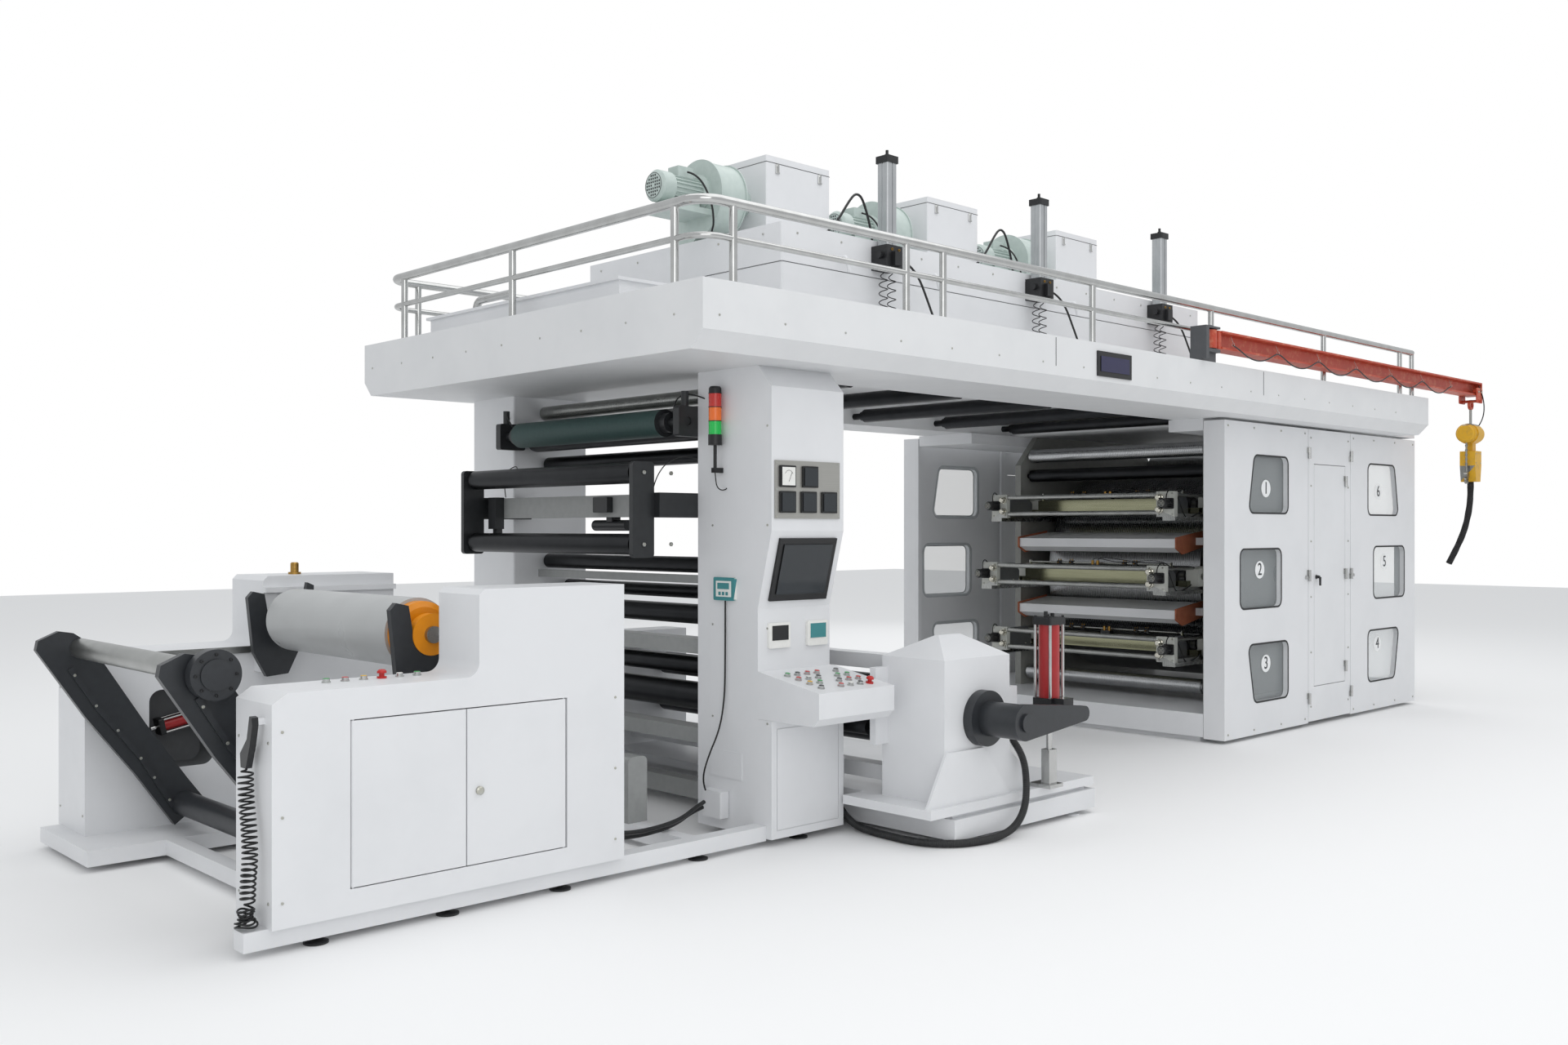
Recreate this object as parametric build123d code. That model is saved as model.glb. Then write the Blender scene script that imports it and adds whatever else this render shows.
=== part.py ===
from build123d import *
import math
import os

# Six colour central drum press: unwinder, control tower, bridge, rewinder, print housing and jib hoist.
# Millimetres. X runs along the web, -Y is the operator's side, Z is up.
# The origin is on the floor under the axis of the central drum.

# Clearances
SEAT = 0.3
RUN_GAP = 6.0
SLIDE_GAP = 3.0

# Seams of round bars are turned away from where bars cross
SEAM_TURN = 37.0

# Print housing
HOUSE_HALF = 1750.0
HOUSE_NEAR = -1415.0
HOUSE_FAR = 1720.0
HOUSE_BASE_TOP = 214.0
HOUSE_TOP = 2430.0
HOUSE_CAP = 30.0
PLINTH_TOP = 40.0
PLINTH_INSET = 230.0
PANEL = 40.0
PANEL_RETURN = 170.0
PANEL_LOW = 30.0
PANEL_DROP = 20.0
FOLD_GAP = 6.0
ROOF_BEAM = 90.0
POST_HALF = 390.0
POST_DEPTH = 60.0
POST_GAP = 3.0
SERVICE_HALF = 285.0
SERVICE_LOW = 323.0
SERVICE_HIGH = 2125.0
DOOR_GAP = 5.0
GLASS = 8.0
GLASS_LAP = 25.0
WINDOW_CORNER = 60.0
HINGE_LEVELS = (229.0, 1224.0, 2214.0)
SERVICE_HINGES = (450.0, 1224.0, 2000.0)
HINGE_RADIUS = 12.0
HINGE_PIN = 5.0
HINGE_LENGTH = 90.0
HINGE_LEAF = 28.0
HINGE_PLATE = 6.0
HANDLE_LEVEL = 1210.0

# Side frames and drum
FRAME_INNER = 890.0
FRAME_THICK = 60.0
FRAME_HALF = 1120.0
FRAME_CHAMFER = 260.0
DRUM_RADIUS = 900.0
DRUM_Z = 1220.0
DRUM_HALF = 740.0
DRUM_RIM = 60.0
DRUM_HUB = 160.0
DRUM_SHAFT = 70.0
DRUM_DISH = 45.0

# Print decks
DECK_LEVELS = (1800.0, 1220.0, 660.0)
DECK_OUTER = (1500.0, 1640.0, 1500.0)
ROLL_HALF = 700.0
PLATE_RADIUS = 78.0
PLATE_NECK = 32.0
ANILOX_RADIUS = 62.0
ANILOX_NECK = 26.0
ANILOX_GAP = 3.0
BLOCK_DEPTH = 110.0
RAIL_HEAD = 26.0
RAIL_FOOT = 30.0
CHAMBER_DEPTH = 130.0
TRAY_GAP = 14.0
TRAY_SHEET = 4.0
END_BLOCK = 45.0
CHEEK_INNER = 745.0
CHEEK_THICK = 30.0
TIE_RADIUS = 19.0
NUT_RADIUS = 24.0
MOTOR_RADIUS = 36.0
MOTOR_LENGTH = 120.0
MOTOR_Y = 838.0
AIR_BOX_LEVELS = (1510.0, 940.0)
AIR_BOX_GAP = 32.0
AIR_BOX_DEPTH = 408.0
AIR_BOX_HALF = 760.0

# Bridge platform
DECK_LEFT = -7050.0
DECK_RIGHT = 1310.0
DECK_NEAR = -1705.0
DECK_FAR = 1565.0
DECK_TOP = 2750.0
DECK_EDGE = 2515.0
DECK_UNDER = HOUSE_TOP
DECK_INSET = 84.0
DECK_SKIN = 90.0
UNDER_ROLLERS = (-5200.0, -4170.0, -3180.0, -2180.0, -1250.0)
UNDER_RADIUS = 52.0

# Handrail
RAIL_RADIUS = 25.0
RAIL_TOP = DECK_TOP + 430.0
RAIL_MID = DECK_TOP + 250.0
MID_RADIUS = 16.0
POST_RADIUS = 20.0
RAIL_LINE = 130.0
RAIL_CORNER = -6950.0
RAIL_BEND = 130.0
RAIL_POSTS = (-6750.0, -5500.0, -5190.0, -3720.0, -2240.0, -470.0, 1010.0, 1270.0)
END_POSTS = (-1380.0, 30.0, 1240.0)

# Dryer, heaters, fans and locker on the bridge
DRYER = (-5880.0, -1390.0, -1000.0, 800.0)
DRYER_TOP = DECK_TOP + 550.0
DRYER_SEAM = DECK_TOP + 330.0
LOCKER = (-6850.0, -6350.0, -810.0, 1100.0)
LOCKER_TOP = DECK_TOP + 127.0
HEATER = (-500.0, 100.0)
HEATER_LENGTH = 540.0
HEATER_TOP = DRYER_TOP + 532.0
FAN_PITCH = 1480.0
FAN_X = -5780.0
FAN_Y = -280.0
FAN_Z = DRYER_TOP + 270.0
FAN_HALF = 94.0
FAN_START = 196.0
FAN_STEP = 16.0
FAN_MOTOR = 74.0
LIFTS_X = (-5080.0, -3570.0, -2060.0)
LIFT_Y = -1060.0
LIFT_SIDE = 84.0
LIFT_TOP = DRYER_TOP + 490.0
COIL_RADIUS = 30.0

# Tower
TOWER_LEFT = -6390.0
TOWER_RIGHT = -5870.0
TOWER_INNER = 890.0
TOWER_NEAR = -1460.0
TOWER_FAR = 1370.0
TOWER_TOP = HOUSE_TOP
TOWER_FOOT = 40.0
CABINET_BACK = -980.0
FACE_STEP = 102.0
FACE_HIGH = 1590.0
FACE_LOW = 1196.0
DESK_LOW = 636.0
DESK_FRONT = -1795.0
DESK_LIP = 802.0
DESK_BACK = 877.0

# Unwinder
UNWIND_LEFT = -8940.0
UNWIND_STEP = -8060.0
UNWIND_RIGHT = -7310.0
UNWIND_NEAR = -1460.0
UNWIND_NEAR_INNER = -1130.0
UNWIND_FAR_INNER = 700.0
UNWIND_FAR = 1110.0
UNWIND_LOW_TOP = 985.0
UNWIND_TALL_TOP = 1350.0
UNWIND_FOOT = 104.0
CAB_DOOR = (-8630.0, -7620.0, 204.0, 861.0)
CAB_MIDDLE = -8120.0
CAB_WALL = 25.0
CAB_DOOR_GAP = 5.0
POCKET = (-8640.0, -8320.0, 390.0, 790.0)
POCKET_DEPTH = 190.0
SILL_LOW = 30.0
ROLL_X = -8000.0
ROLL_Z = 1130.0
ROLL_RADIUS = 160.0
ROLL_ENDS = (-830.0, 430.0)
ROLL_SHAFT = 38.0
SEAT_RADIUS = 94.0
FORK_THICK = 35.0
FORKS_Y = (-960.0, 560.0)
ARM_X = -8520.0
ARM_Z = 232.0
ARM_LENGTH = 935.0
ARM_LEAN = 31.0
ARM_THICK = 40.0
ARM_NEAR = -1020.0
ARM_FAR = 560.0
ARM_SHAFT = 60.0
BAR_NECK = 34.0

# Rewinder
REWIND_X = -5450.0
REWIND_FRONT = -2090.0
REWIND_BACK = 900.0
REWIND_LEFT = -5720.0
REWIND_RIGHT = -4476.0
REWIND_AXIS_Z = 624.0
REWIND_PIN_X = -4930.0
PEDESTAL = (-5742.0, -5202.0)
PEDESTAL_DEPTH = 420.0
PEDESTAL_TOP = 936.0
PLATE_TOP = 205.0
LEVER_FACE = -2330.0
LEVER_THICK = 36.0
PIN_RADIUS = 12.0
EYE_BORE = 26.0
ROD_RADIUS = 16.0
RETURN_ROLLERS = ((-5400.0, 720.0), (-5400.0, 480.0))
RETURN_NECK = 25.0
SIDE_ROLLERS = ((-5790.0, 800.0), (-5790.0, 560.0))
SIDE_NECK = 16.0

# Jib
JIB_X = -2480.0
JIB_Y = -1685.0
JIB_TIP = 2470.0
JIB_LOW = DECK_TOP + 90.0
JIB_HEIGHT = 125.0
JIB_WIDTH = 130.0
JIB_FLANGE = 14.0
HOIST_X = 2360.0

# Routes of the cords
CABLE_RADIUS = 20.0
CABLE_START = 640.0
REWIND_CABLE = (
    (-5150.0, -1985.0, CABLE_START - SEAT), (-5150.0, -1985.0, 510.0), (-5140.0, -2085.0, 395.0),
    (-5155.0, -2118.0, 255.0), (-5200.0, -2140.0, 133.0), (-5290.0, -2150.0, 55.0), (-5420.0, -2155.0, 24.0),
    (-5560.0, -2150.0, 21.0), (-5690.0, -2115.0, 21.5), (-5790.0, -2030.0, 21.0), (-5835.0, -1900.0, 21.5),
    (-5830.0, -1760.0, 21.0), (-5820.0, -1620.0, 22.0), (-5815.0, -1500.0, 30.0), (-5812.0, -1400.0, 85.0),
    (-5810.0, -1335.0, 170.0), (-5810.0, -1335.0, 270.0),
)
HOSE_LINE = (
    (-8980.0, -1319.0, 699.0), (-8980.0, -1319.0, 595.0), (-8983.0, -1358.0, 480.0), (-8991.0, -1388.0, 365.0),
    (-8996.0, -1376.0, 275.0), (-8996.0, -1376.0, 190.0),
)
HOSE_HEAP = (-9000.0, -1370.0)
SLEEVE_LINE = (
    (2360.0, -1685.0, 2040.0 - SEAT), (2360.0, -1685.0, 1900.0), (2345.0, -1673.0, 1750.0), (2314.0, -1648.0, 1590.0),
    (2262.0, -1602.0, 1430.0), (2205.0, -1548.0, 1280.0),
)


def box(x0, x1, y0, y1, z0, z1):
    """Block between two corners, given in any order."""
    size = (abs(x1 - x0), abs(y1 - y0), abs(z1 - z0))
    centre = ((x0 + x1) / 2, (y0 + y1) / 2, (z0 + z1) / 2)
    return Pos(*centre) * Box(*size)


def rod_y(x, z, radius, y0, y1):
    """Round bar across the machine."""
    return Pos(x, (y0 + y1) / 2, z) * Rot(90, 0, 0) * Rot(0, 0, SEAM_TURN) * Cylinder(radius, abs(y1 - y0))


def rod_x(y, z, radius, x0, x1):
    """Round bar along the machine."""
    return Pos((x0 + x1) / 2, y, z) * Rot(0, 90, 0) * Rot(0, 0, SEAM_TURN) * Cylinder(radius, abs(x1 - x0))


def rod_z(x, y, radius, z0, z1):
    """Upright round bar."""
    return Pos(x, y, (z0 + z1) / 2) * Cylinder(radius, abs(z1 - z0))


def outline(points):
    return make_face(Polyline(*points, close=True))


def side_plate(points, y0, y1):
    """Outline in X and Z, extruded across the machine from y0 to y1."""
    return Pos(0, min(y0, y1), 0) * extrude(Plane.XZ * outline(points), amount=abs(y1 - y0), dir=(0, 1, 0))


def end_plate(points, x0, x1):
    """Outline in Y and Z, extruded along the machine from x0 to x1."""
    return Pos(min(x0, x1), 0, 0) * extrude(Plane.YZ * outline(points), amount=abs(x1 - x0), dir=(1, 0, 0))


def level_plate(points, z0, z1):
    """Outline in X and Y, extruded upward from z0 to z1."""
    return Pos(0, 0, z0) * extrude(outline(points), amount=z1 - z0, dir=(0, 0, 1))


def turned_x(profile, x, y, z):
    """Turned piece round an axis along X, from distance and radius."""
    return Pos(x, y, z) * revolve(Plane.XZ * outline(profile), axis=Axis.X)


def turned_y(profile, x, y, z):
    """Turned piece round an axis along Y, from distance and radius."""
    return Pos(x, y, z) * revolve(outline([(radius, along) for along, radius in profile]), axis=Axis.Y)


def turned_z(profile, x, y, z):
    """Turned piece round an upright axis, from height and radius."""
    points = [(radius, along) for along, radius in profile]
    return Pos(x, y, z) * revolve(Plane.XZ * outline(points), axis=Axis.Z)


def round_ended(start, start_radius, end, end_radius):
    """Outline of a plate with two round ends: straight sides touch both circles."""
    dx = end[0] - start[0]
    dz = end[1] - start[1]
    length = math.hypot(dx, dz)
    along = math.atan2(dz, dx)
    lean = math.acos((start_radius - end_radius) / length)
    corners = []
    for centre, radius, sign in ((start, start_radius, 1), (end, end_radius, 1),
                                 (end, end_radius, -1), (start, start_radius, -1)):
        angle = along + sign * lean
        corners.append((centre[0] + radius * math.cos(angle), centre[1] + radius * math.sin(angle)))
    return corners


def join(*solids):
    """One solid from touching ones."""
    body = solids[0]
    for solid in solids[1:]:
        body = body + solid
    return body


def round_edges(solid, axis, radius):
    """Rounds the edges parallel to an axis."""
    return fillet(solid.edges().filter_by(axis), radius)


def round_top(solid, axis, radius):
    """Rounds the upper edges parallel to an axis."""
    return fillet(solid.edges().filter_by(axis).group_by(Axis.Z)[-1], radius)


def save(name, *solids):
    """One STEP file for a node, from one or more solids."""
    flat = []
    for solid in solids:
        flat.extend(solid.solids())
    export_step(Compound(children=[Solid(s.wrapped) for s in flat]), f"parts/{name}.step")


def mirror_x(solid):
    return mirror(solid, about=Plane.YZ)


# Print housing

def housing_frame():
    """Plinth and base frame, the beams on the side frames, and the cap beyond the bridge."""
    plinth = box(-HOUSE_HALF + 60, HOUSE_HALF - 60, HOUSE_NEAR + PLINTH_INSET, HOUSE_FAR - PLINTH_INSET,
                 0, PLINTH_TOP)
    reach = PANEL_RETURN + FOLD_GAP
    half = HOUSE_HALF - DOOR_GAP
    base = box(-half, half, HOUSE_NEAR + reach, HOUSE_FAR - reach, PLINTH_TOP, HOUSE_BASE_TOP)
    save("housing_base", plinth + base)
    edge = FRAME_INNER + FRAME_THICK + SEAT
    near = box(-half, half, HOUSE_NEAR + reach, -edge, HOUSE_TOP - ROOF_BEAM, HOUSE_TOP)
    far = box(-half, half, edge, HOUSE_FAR - reach, HOUSE_TOP - ROOF_BEAM, HOUSE_TOP)
    cap = box(DECK_RIGHT + RUN_GAP, HOUSE_HALF, HOUSE_NEAR + 2, HOUSE_FAR - 2, HOUSE_TOP, HOUSE_TOP + HOUSE_CAP)
    save("housing_roof", near, far, cap)


def centre_frame(y_face, inward):
    """Fixed frame round a service door: two jambs, a header, a sill and the ties to the base and roof."""
    inner = y_face + inward * POST_DEPTH
    reach = y_face + inward * (PANEL_RETURN + FOLD_GAP)
    low = PLINTH_TOP
    high = HOUSE_TOP - PANEL_DROP
    side = SERVICE_HALF + DOOR_GAP
    tie = 40.0
    left = box(-POST_HALF + POST_GAP, -side, y_face, inner, low, high)
    right = box(side, POST_HALF - POST_GAP, y_face, inner, low, high)
    head = box(-side, side, y_face, inner, SERVICE_HIGH + DOOR_GAP, high)
    sill = box(-side, side, y_face, inner, low, SERVICE_LOW - DOOR_GAP)
    ties = []
    for x in (-POST_HALF + 60, POST_HALF - 60 - tie):
        for z0, z1 in ((60, 200), (HOUSE_TOP - ROOF_BEAM, HOUSE_TOP - 30)):
            ties.append(box(x, x + tie, inner, reach, z0, z1))
    return [left, right, head, sill] + ties


WINDOWS = {
    "top": [(-1295, 2165), (-741, 2165), (-741, 1722), (-1384, 1722)],
    "middle": [(-1515, 1447), (-855, 1447), (-855, 995), (-1515, 995)],
    "bottom": [(-1393, 720), (-741, 720), (-741, 275), (-1295, 275)],
}


def window_block(corners, y0, y1, grow=0.0):
    """A window's outline with round corners, as a block between two depths."""
    face = outline(corners)
    face = fillet(face.vertices(), WINDOW_CORNER)
    if grow:
        face = offset(face, grow)
    return Pos(0, min(y0, y1), 0) * extrude(Plane.XZ * face, amount=abs(y1 - y0), dir=(0, 1, 0))


def wing_panel(y_face, inward):
    """Left wing of a side wall: a folded panel with three windows and a deep return at its free end."""
    inner = y_face + inward * PANEL
    deep = y_face + inward * PANEL_RETURN
    high = HOUSE_TOP - PANEL_DROP
    sheet = box(-HOUSE_HALF, -POST_HALF - POST_GAP, y_face, inner, PANEL_LOW, high)
    for corners in WINDOWS.values():
        sheet = sheet - window_block(corners, y_face - inward, inner + inward)
    fold = box(-HOUSE_HALF, -HOUSE_HALF + PANEL, inner, deep, PANEL_LOW, high)
    return sheet + fold


def wing_glass(y_face, inward):
    """Three panes seated behind the openings of a wing."""
    y0 = y_face + inward * (PANEL + SEAT)
    return [window_block(corners, y0, y0 + inward * GLASS, GLASS_LAP) for corners in WINDOWS.values()]


HINGE_Y = HOUSE_NEAR - HINGE_RADIUS
HINGE_HALF = HINGE_LENGTH / 2


def fixed_hinges(x, toward, levels):
    """Lower knuckle with its bore, and the leaf on the fixed frame, at each level."""
    pieces = []
    for z in levels:
        knuckle = rod_z(x, HINGE_Y, HINGE_RADIUS, z - HINGE_HALF, z)
        leaf = box(x, x + toward * HINGE_LEAF, HOUSE_NEAR - HINGE_PLATE, HOUSE_NEAR, z - HINGE_HALF, z)
        bore = rod_z(x, HINGE_Y, HINGE_PIN + SEAT, z - HINGE_HALF + HINGE_PIN, z + 1)
        pieces.append(knuckle + leaf - bore)
    return pieces


def moving_hinges(x, toward, levels):
    """Upper knuckle, the leaf on the door, and the pin that reaches down into the fixed knuckle."""
    pieces = []
    for z in levels:
        knuckle = rod_z(x, HINGE_Y, HINGE_RADIUS, z + SEAT, z + HINGE_HALF)
        pin = rod_z(x, HINGE_Y, HINGE_PIN, z - HINGE_HALF + HINGE_PIN + 1, z + SEAT)
        leaf = box(x, x + toward * HINGE_LEAF, HOUSE_NEAR - HINGE_PLATE, HOUSE_NEAR, z + SEAT, z + HINGE_HALF)
        pieces.append(join(knuckle, pin, leaf))
    return pieces


def wall_pieces():
    """Centre frame, left wing, its panes and the service door, all on the operator's side."""
    knuckles = fixed_hinges(-POST_HALF, 1, HINGE_LEVELS)
    knuckles += fixed_hinges(POST_HALF, -1, HINGE_LEVELS)
    knuckles += fixed_hinges(SERVICE_HALF, 1, SERVICE_HINGES)
    frame = join(*centre_frame(HOUSE_NEAR, 1), *knuckles)

    latch = turned_y([(-14, 0), (-14, 13), (-4, 16), (0, 16), (0, 0)], -POST_HALF - 45, HOUSE_NEAR, HANDLE_LEVEL)
    wing = join(wing_panel(HOUSE_NEAR, 1), *moving_hinges(-POST_HALF, -1, HINGE_LEVELS), latch)

    leaf = box(-SERVICE_HALF, SERVICE_HALF, HOUSE_NEAR, HOUSE_NEAR + PANEL, SERVICE_LOW, SERVICE_HIGH)
    handle_x = -SERVICE_HALF + 35
    rose = turned_y([(-30, 0), (-30, 11), (-8, 14), (0, 18), (0, 0)], handle_x, HOUSE_NEAR, HANDLE_LEVEL)
    grip = side_plate(round_ended((handle_x, HANDLE_LEVEL), 10, (handle_x, HANDLE_LEVEL - 70), 7),
                      HOUSE_NEAR - 40, HOUSE_NEAR - 28)
    door = join(leaf, rose, grip, *moving_hinges(SERVICE_HALF, -1, SERVICE_HINGES))
    return frame, wing, wing_glass(HOUSE_NEAR, 1), door


def side_walls():
    """Near wall with its three doors, and the far wall that repeats it, closed."""
    frame, wing, glass, door = wall_pieces()
    save("housing_near_frame", frame)
    save("door_near_left", wing)
    save("door_near_right", mirror_x(wing))
    save("glass_near_left", *glass)
    save("glass_near_right", *[mirror_x(pane) for pane in glass])
    save("service_door", door)
    turn = Pos(0, HOUSE_NEAR + HOUSE_FAR, 0) * Rot(0, 0, 180)
    save("housing_far_wall", *[turn * piece for piece in (frame, wing, mirror_x(wing), door)])
    save("glass_far", *[turn * pane for pane in glass], *[turn * mirror_x(pane) for pane in glass])


def side_frames():
    """Two thick plates with chamfered corners that carry the drum and the print decks."""
    half = FRAME_HALF
    low = HOUSE_BASE_TOP
    high = HOUSE_TOP - SEAT
    points = [(-half, low), (half, low), (half, high - FRAME_CHAMFER), (half - FRAME_CHAMFER, high),
              (-half + FRAME_CHAMFER, high), (-half, high - FRAME_CHAMFER)]
    plates = []
    for y in (-FRAME_INNER - FRAME_THICK, FRAME_INNER):
        plate = side_plate(points, y, y + FRAME_THICK)
        plates.append(plate - rod_y(0, DRUM_Z, DRUM_SHAFT + SEAT, y - 1, y + FRAME_THICK + 1))
    save("side_frames", *plates)


def drum():
    """Central impression drum: rim, dished webs, hub and shaft, turned in one profile."""
    reach = FRAME_INNER + FRAME_THICK + 40
    web = DRUM_HALF - DRUM_DISH
    hub = DRUM_HALF + 30
    inner = DRUM_RADIUS - DRUM_RIM
    profile = [(-reach, 0), (-reach, DRUM_SHAFT), (-hub, DRUM_SHAFT), (-hub, DRUM_HUB), (-web, DRUM_HUB),
               (-web, inner), (-DRUM_HALF, inner), (-DRUM_HALF, DRUM_RADIUS)]
    other = [(-along, radius) for along, radius in reversed(profile)]
    save("central_drum", turned_y(profile + other, 0, 0, DRUM_Z))


def deck_x(level):
    """Distance of a plate cylinder from the drum's axis plane at a level."""
    reach = DRUM_RADIUS + PLATE_RADIUS + RUN_GAP
    return math.sqrt(reach ** 2 - (level - DRUM_Z) ** 2)


def journal_roller(x, z, radius, neck, half, reach):
    """Roller with stepped journals, turned in one profile."""
    step = radius * 0.7
    collar = half + (reach - half) * 0.3
    profile = [(-reach, 0), (-reach, neck), (-collar, neck), (-collar, step), (-half, step), (-half, radius)]
    other = [(-along, size) for along, size in reversed(profile)]
    return turned_y(profile + other, x, 0, z)


def deck_rail(x0, x1, y_in, y_out, top):
    """Linear guide: a broad foot under a narrower head."""
    middle = top - RAIL_HEAD
    low = middle - RAIL_FOOT
    step = (y_out - y_in) / 6
    points = [(y_in, low), (y_out, low), (y_out, middle), (y_out - step, middle), (y_out - step, top),
              (y_in + step, top), (y_in + step, middle), (y_in, middle)]
    return end_plate(points, x0, x1)


def bearing_block(x, half, y_in, y_out, z, height, bore):
    """Bearing block with rounded shoulders round a journal."""
    block = box(x - half, x + half, y_in, y_out, z - PLATE_RADIUS, z + height)
    block = round_top(block, Axis.Y, half * 0.35)
    return block - rod_y(x, z, bore + SEAT, -FRAME_INNER, FRAME_INNER)


def deck_chamber(side, x0, level):
    """Doctor blade chamber: open towards the anilox roller, with lugs on the rails, a bar and a valve block."""
    deep = x0 + CHAMBER_DEPTH
    section = [(x0, 24), (x0 + 30, 52), (x0 + 70, 60), (deep, 50), (deep, -60), (x0 + 60, -60), (x0, -24),
               (x0 + 40, -10), (x0 + 40, 10)]
    body = side_plate([(side * x, level + z) for x, z in section], -ROLL_HALF + 10, ROLL_HALF - 10)
    lug = side * (x0 + 95)
    ear = side * (x0 + 60)
    for y in (-1, 1):
        body = body + box(lug - 30, lug + 30, y * (ROLL_HALF - 20), y * (ROLL_HALF + 160),
                          level - PLATE_RADIUS + SEAT, level - 30)
        body = body + box(ear - 12, ear + 12, y * (ROLL_HALF - 10), y * (ROLL_HALF - 24), level + 40, level + 112)
    body = body + rod_y(ear, level + 96, 9, -ROLL_HALF + 20, ROLL_HALF - 20)
    valve = box(side * (x0 + 72), side * (x0 + 126), -45, 45, level + 40, level + 84)
    for y in (-24, 24):
        valve = valve + rod_z(side * (x0 + 99), y, 12, level + 84, level + 118)
    return body + valve


def ink_tray(side, anilox_x, x0, level):
    """Bent sheet under the anilox roller, carried by the chamber."""
    outer = ANILOX_RADIUS + TRAY_GAP + TRAY_SHEET
    half = ROLL_HALF - 12
    ring = rod_y(side * anilox_x, level, outer, -half, half)
    ring = ring - rod_y(side * anilox_x, level, outer - TRAY_SHEET, -half - 1, half + 1)
    return ring & box(side * (anilox_x - 50), side * (x0 + 20), -half, half, level - outer - 1, level - 26)


def deck_motor(side, x0, y, z):
    """Motor with its gear flange, ribbed body and fan cowl, on the outer face of an end block."""
    flange = round_edges(box(0, 14, -42, 42, -42, 42), Axis.X, 10)
    body = Circle(MOTOR_RADIUS - 5)
    for angle in range(0, 360, 30):
        body = body + Rot(0, 0, angle) * Pos(MOTOR_RADIUS - 6, 0) * Rectangle(14, 7)
    ribbed = Pos(14, 0, 0) * extrude(Plane.YZ * body, amount=MOTOR_LENGTH - 54, dir=(1, 0, 0))
    cowl = turned_x([(MOTOR_LENGTH - 42, 0), (MOTOR_LENGTH - 42, MOTOR_RADIUS + 2), (MOTOR_LENGTH - 8, MOTOR_RADIUS + 2),
                     (MOTOR_LENGTH, MOTOR_RADIUS - 6), (MOTOR_LENGTH, 0)], 0, 0, 0)
    whole = join(flange, ribbed, cowl)
    if side < 0:
        whole = mirror_x(whole)
    return Pos(side * x0, y, z) * whole


def print_decks():
    """Six decks: plate cylinder, anilox roller, blade chamber, tray, guides, bearing blocks, end blocks, motors."""
    cylinders = []
    tooling = []
    heads = []
    drives = []
    y_in = FRAME_INNER - BLOCK_DEPTH
    y_out = FRAME_INNER - SEAT
    for level, outer in zip(DECK_LEVELS, DECK_OUTER):
        plate_x = deck_x(level)
        anilox_x = plate_x + PLATE_RADIUS + ANILOX_RADIUS + ANILOX_GAP
        chamber_x = anilox_x + ANILOX_RADIUS + RUN_GAP
        cheek_x = chamber_x + CHAMBER_DEPTH + 15
        rail_top = level - PLATE_RADIUS
        for side in (-1, 1):
            reach = FRAME_INNER - 30
            cylinders.append(journal_roller(side * plate_x, level, PLATE_RADIUS, PLATE_NECK, ROLL_HALF, reach))
            tooling.append(journal_roller(side * anilox_x, level, ANILOX_RADIUS, ANILOX_NECK, ROLL_HALF, reach))
            tooling.append(deck_chamber(side, chamber_x, level) + ink_tray(side, anilox_x, chamber_x, level))
            for y in (-1, 1):
                rail = deck_rail(side * (plate_x - 70), side * (outer + END_BLOCK), y * y_in, y * y_out, rail_top)
                plate = bearing_block(side * plate_x, 70, y * y_in, y * y_out, level, PLATE_RADIUS, PLATE_NECK)
                carry = bearing_block(side * anilox_x, 62, y * y_in, y * y_out, level, 64, ANILOX_NECK)
                low = level - 104
                block = box(side * outer, side * (outer + END_BLOCK), y * (CHEEK_INNER - 20), y * (y_out - 5),
                            low, level + 95)
                cheek = side_plate([(side * cheek_x, low + 20), (side * outer, low + 20), (side * outer, level + 86),
                                    (side * (cheek_x + 60), level + 86), (side * cheek_x, level + 20)],
                                   y * CHEEK_INNER, y * (CHEEK_INNER + CHEEK_THICK))
                screw = rod_x(y * (y_in + 55), level + 66, 12, side * (anilox_x + 40), side * (outer + 10))
                head = join(rail, plate, carry, block, cheek, screw)
                for z in (-48, 48):
                    nut = turned_x([(0, 0), (0, 30), (10, 30), (14, NUT_RADIUS), (40, NUT_RADIUS), (46, 16), (46, 0)],
                                   0, 0, 0)
                    if side < 0:
                        nut = mirror_x(nut)
                    head = head + Pos(side * (outer + END_BLOCK), y * (CHEEK_INNER + 12), level + z) * nut
                heads.append(head)
                drives.append(deck_motor(side, outer + END_BLOCK + SEAT, y * MOTOR_Y, level))
            for z in (level + 70, level - 70):
                tooling.append(rod_y(side * (outer + END_BLOCK / 2), z, TIE_RADIUS,
                                     -CHEEK_INNER + 20 + SEAT, CHEEK_INNER - 20 - SEAT))
    save("plate_cylinders", *cylinders)
    save("deck_tooling", *tooling)
    save("deck_heads", *heads)
    save("deck_motors", *drives)


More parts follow.
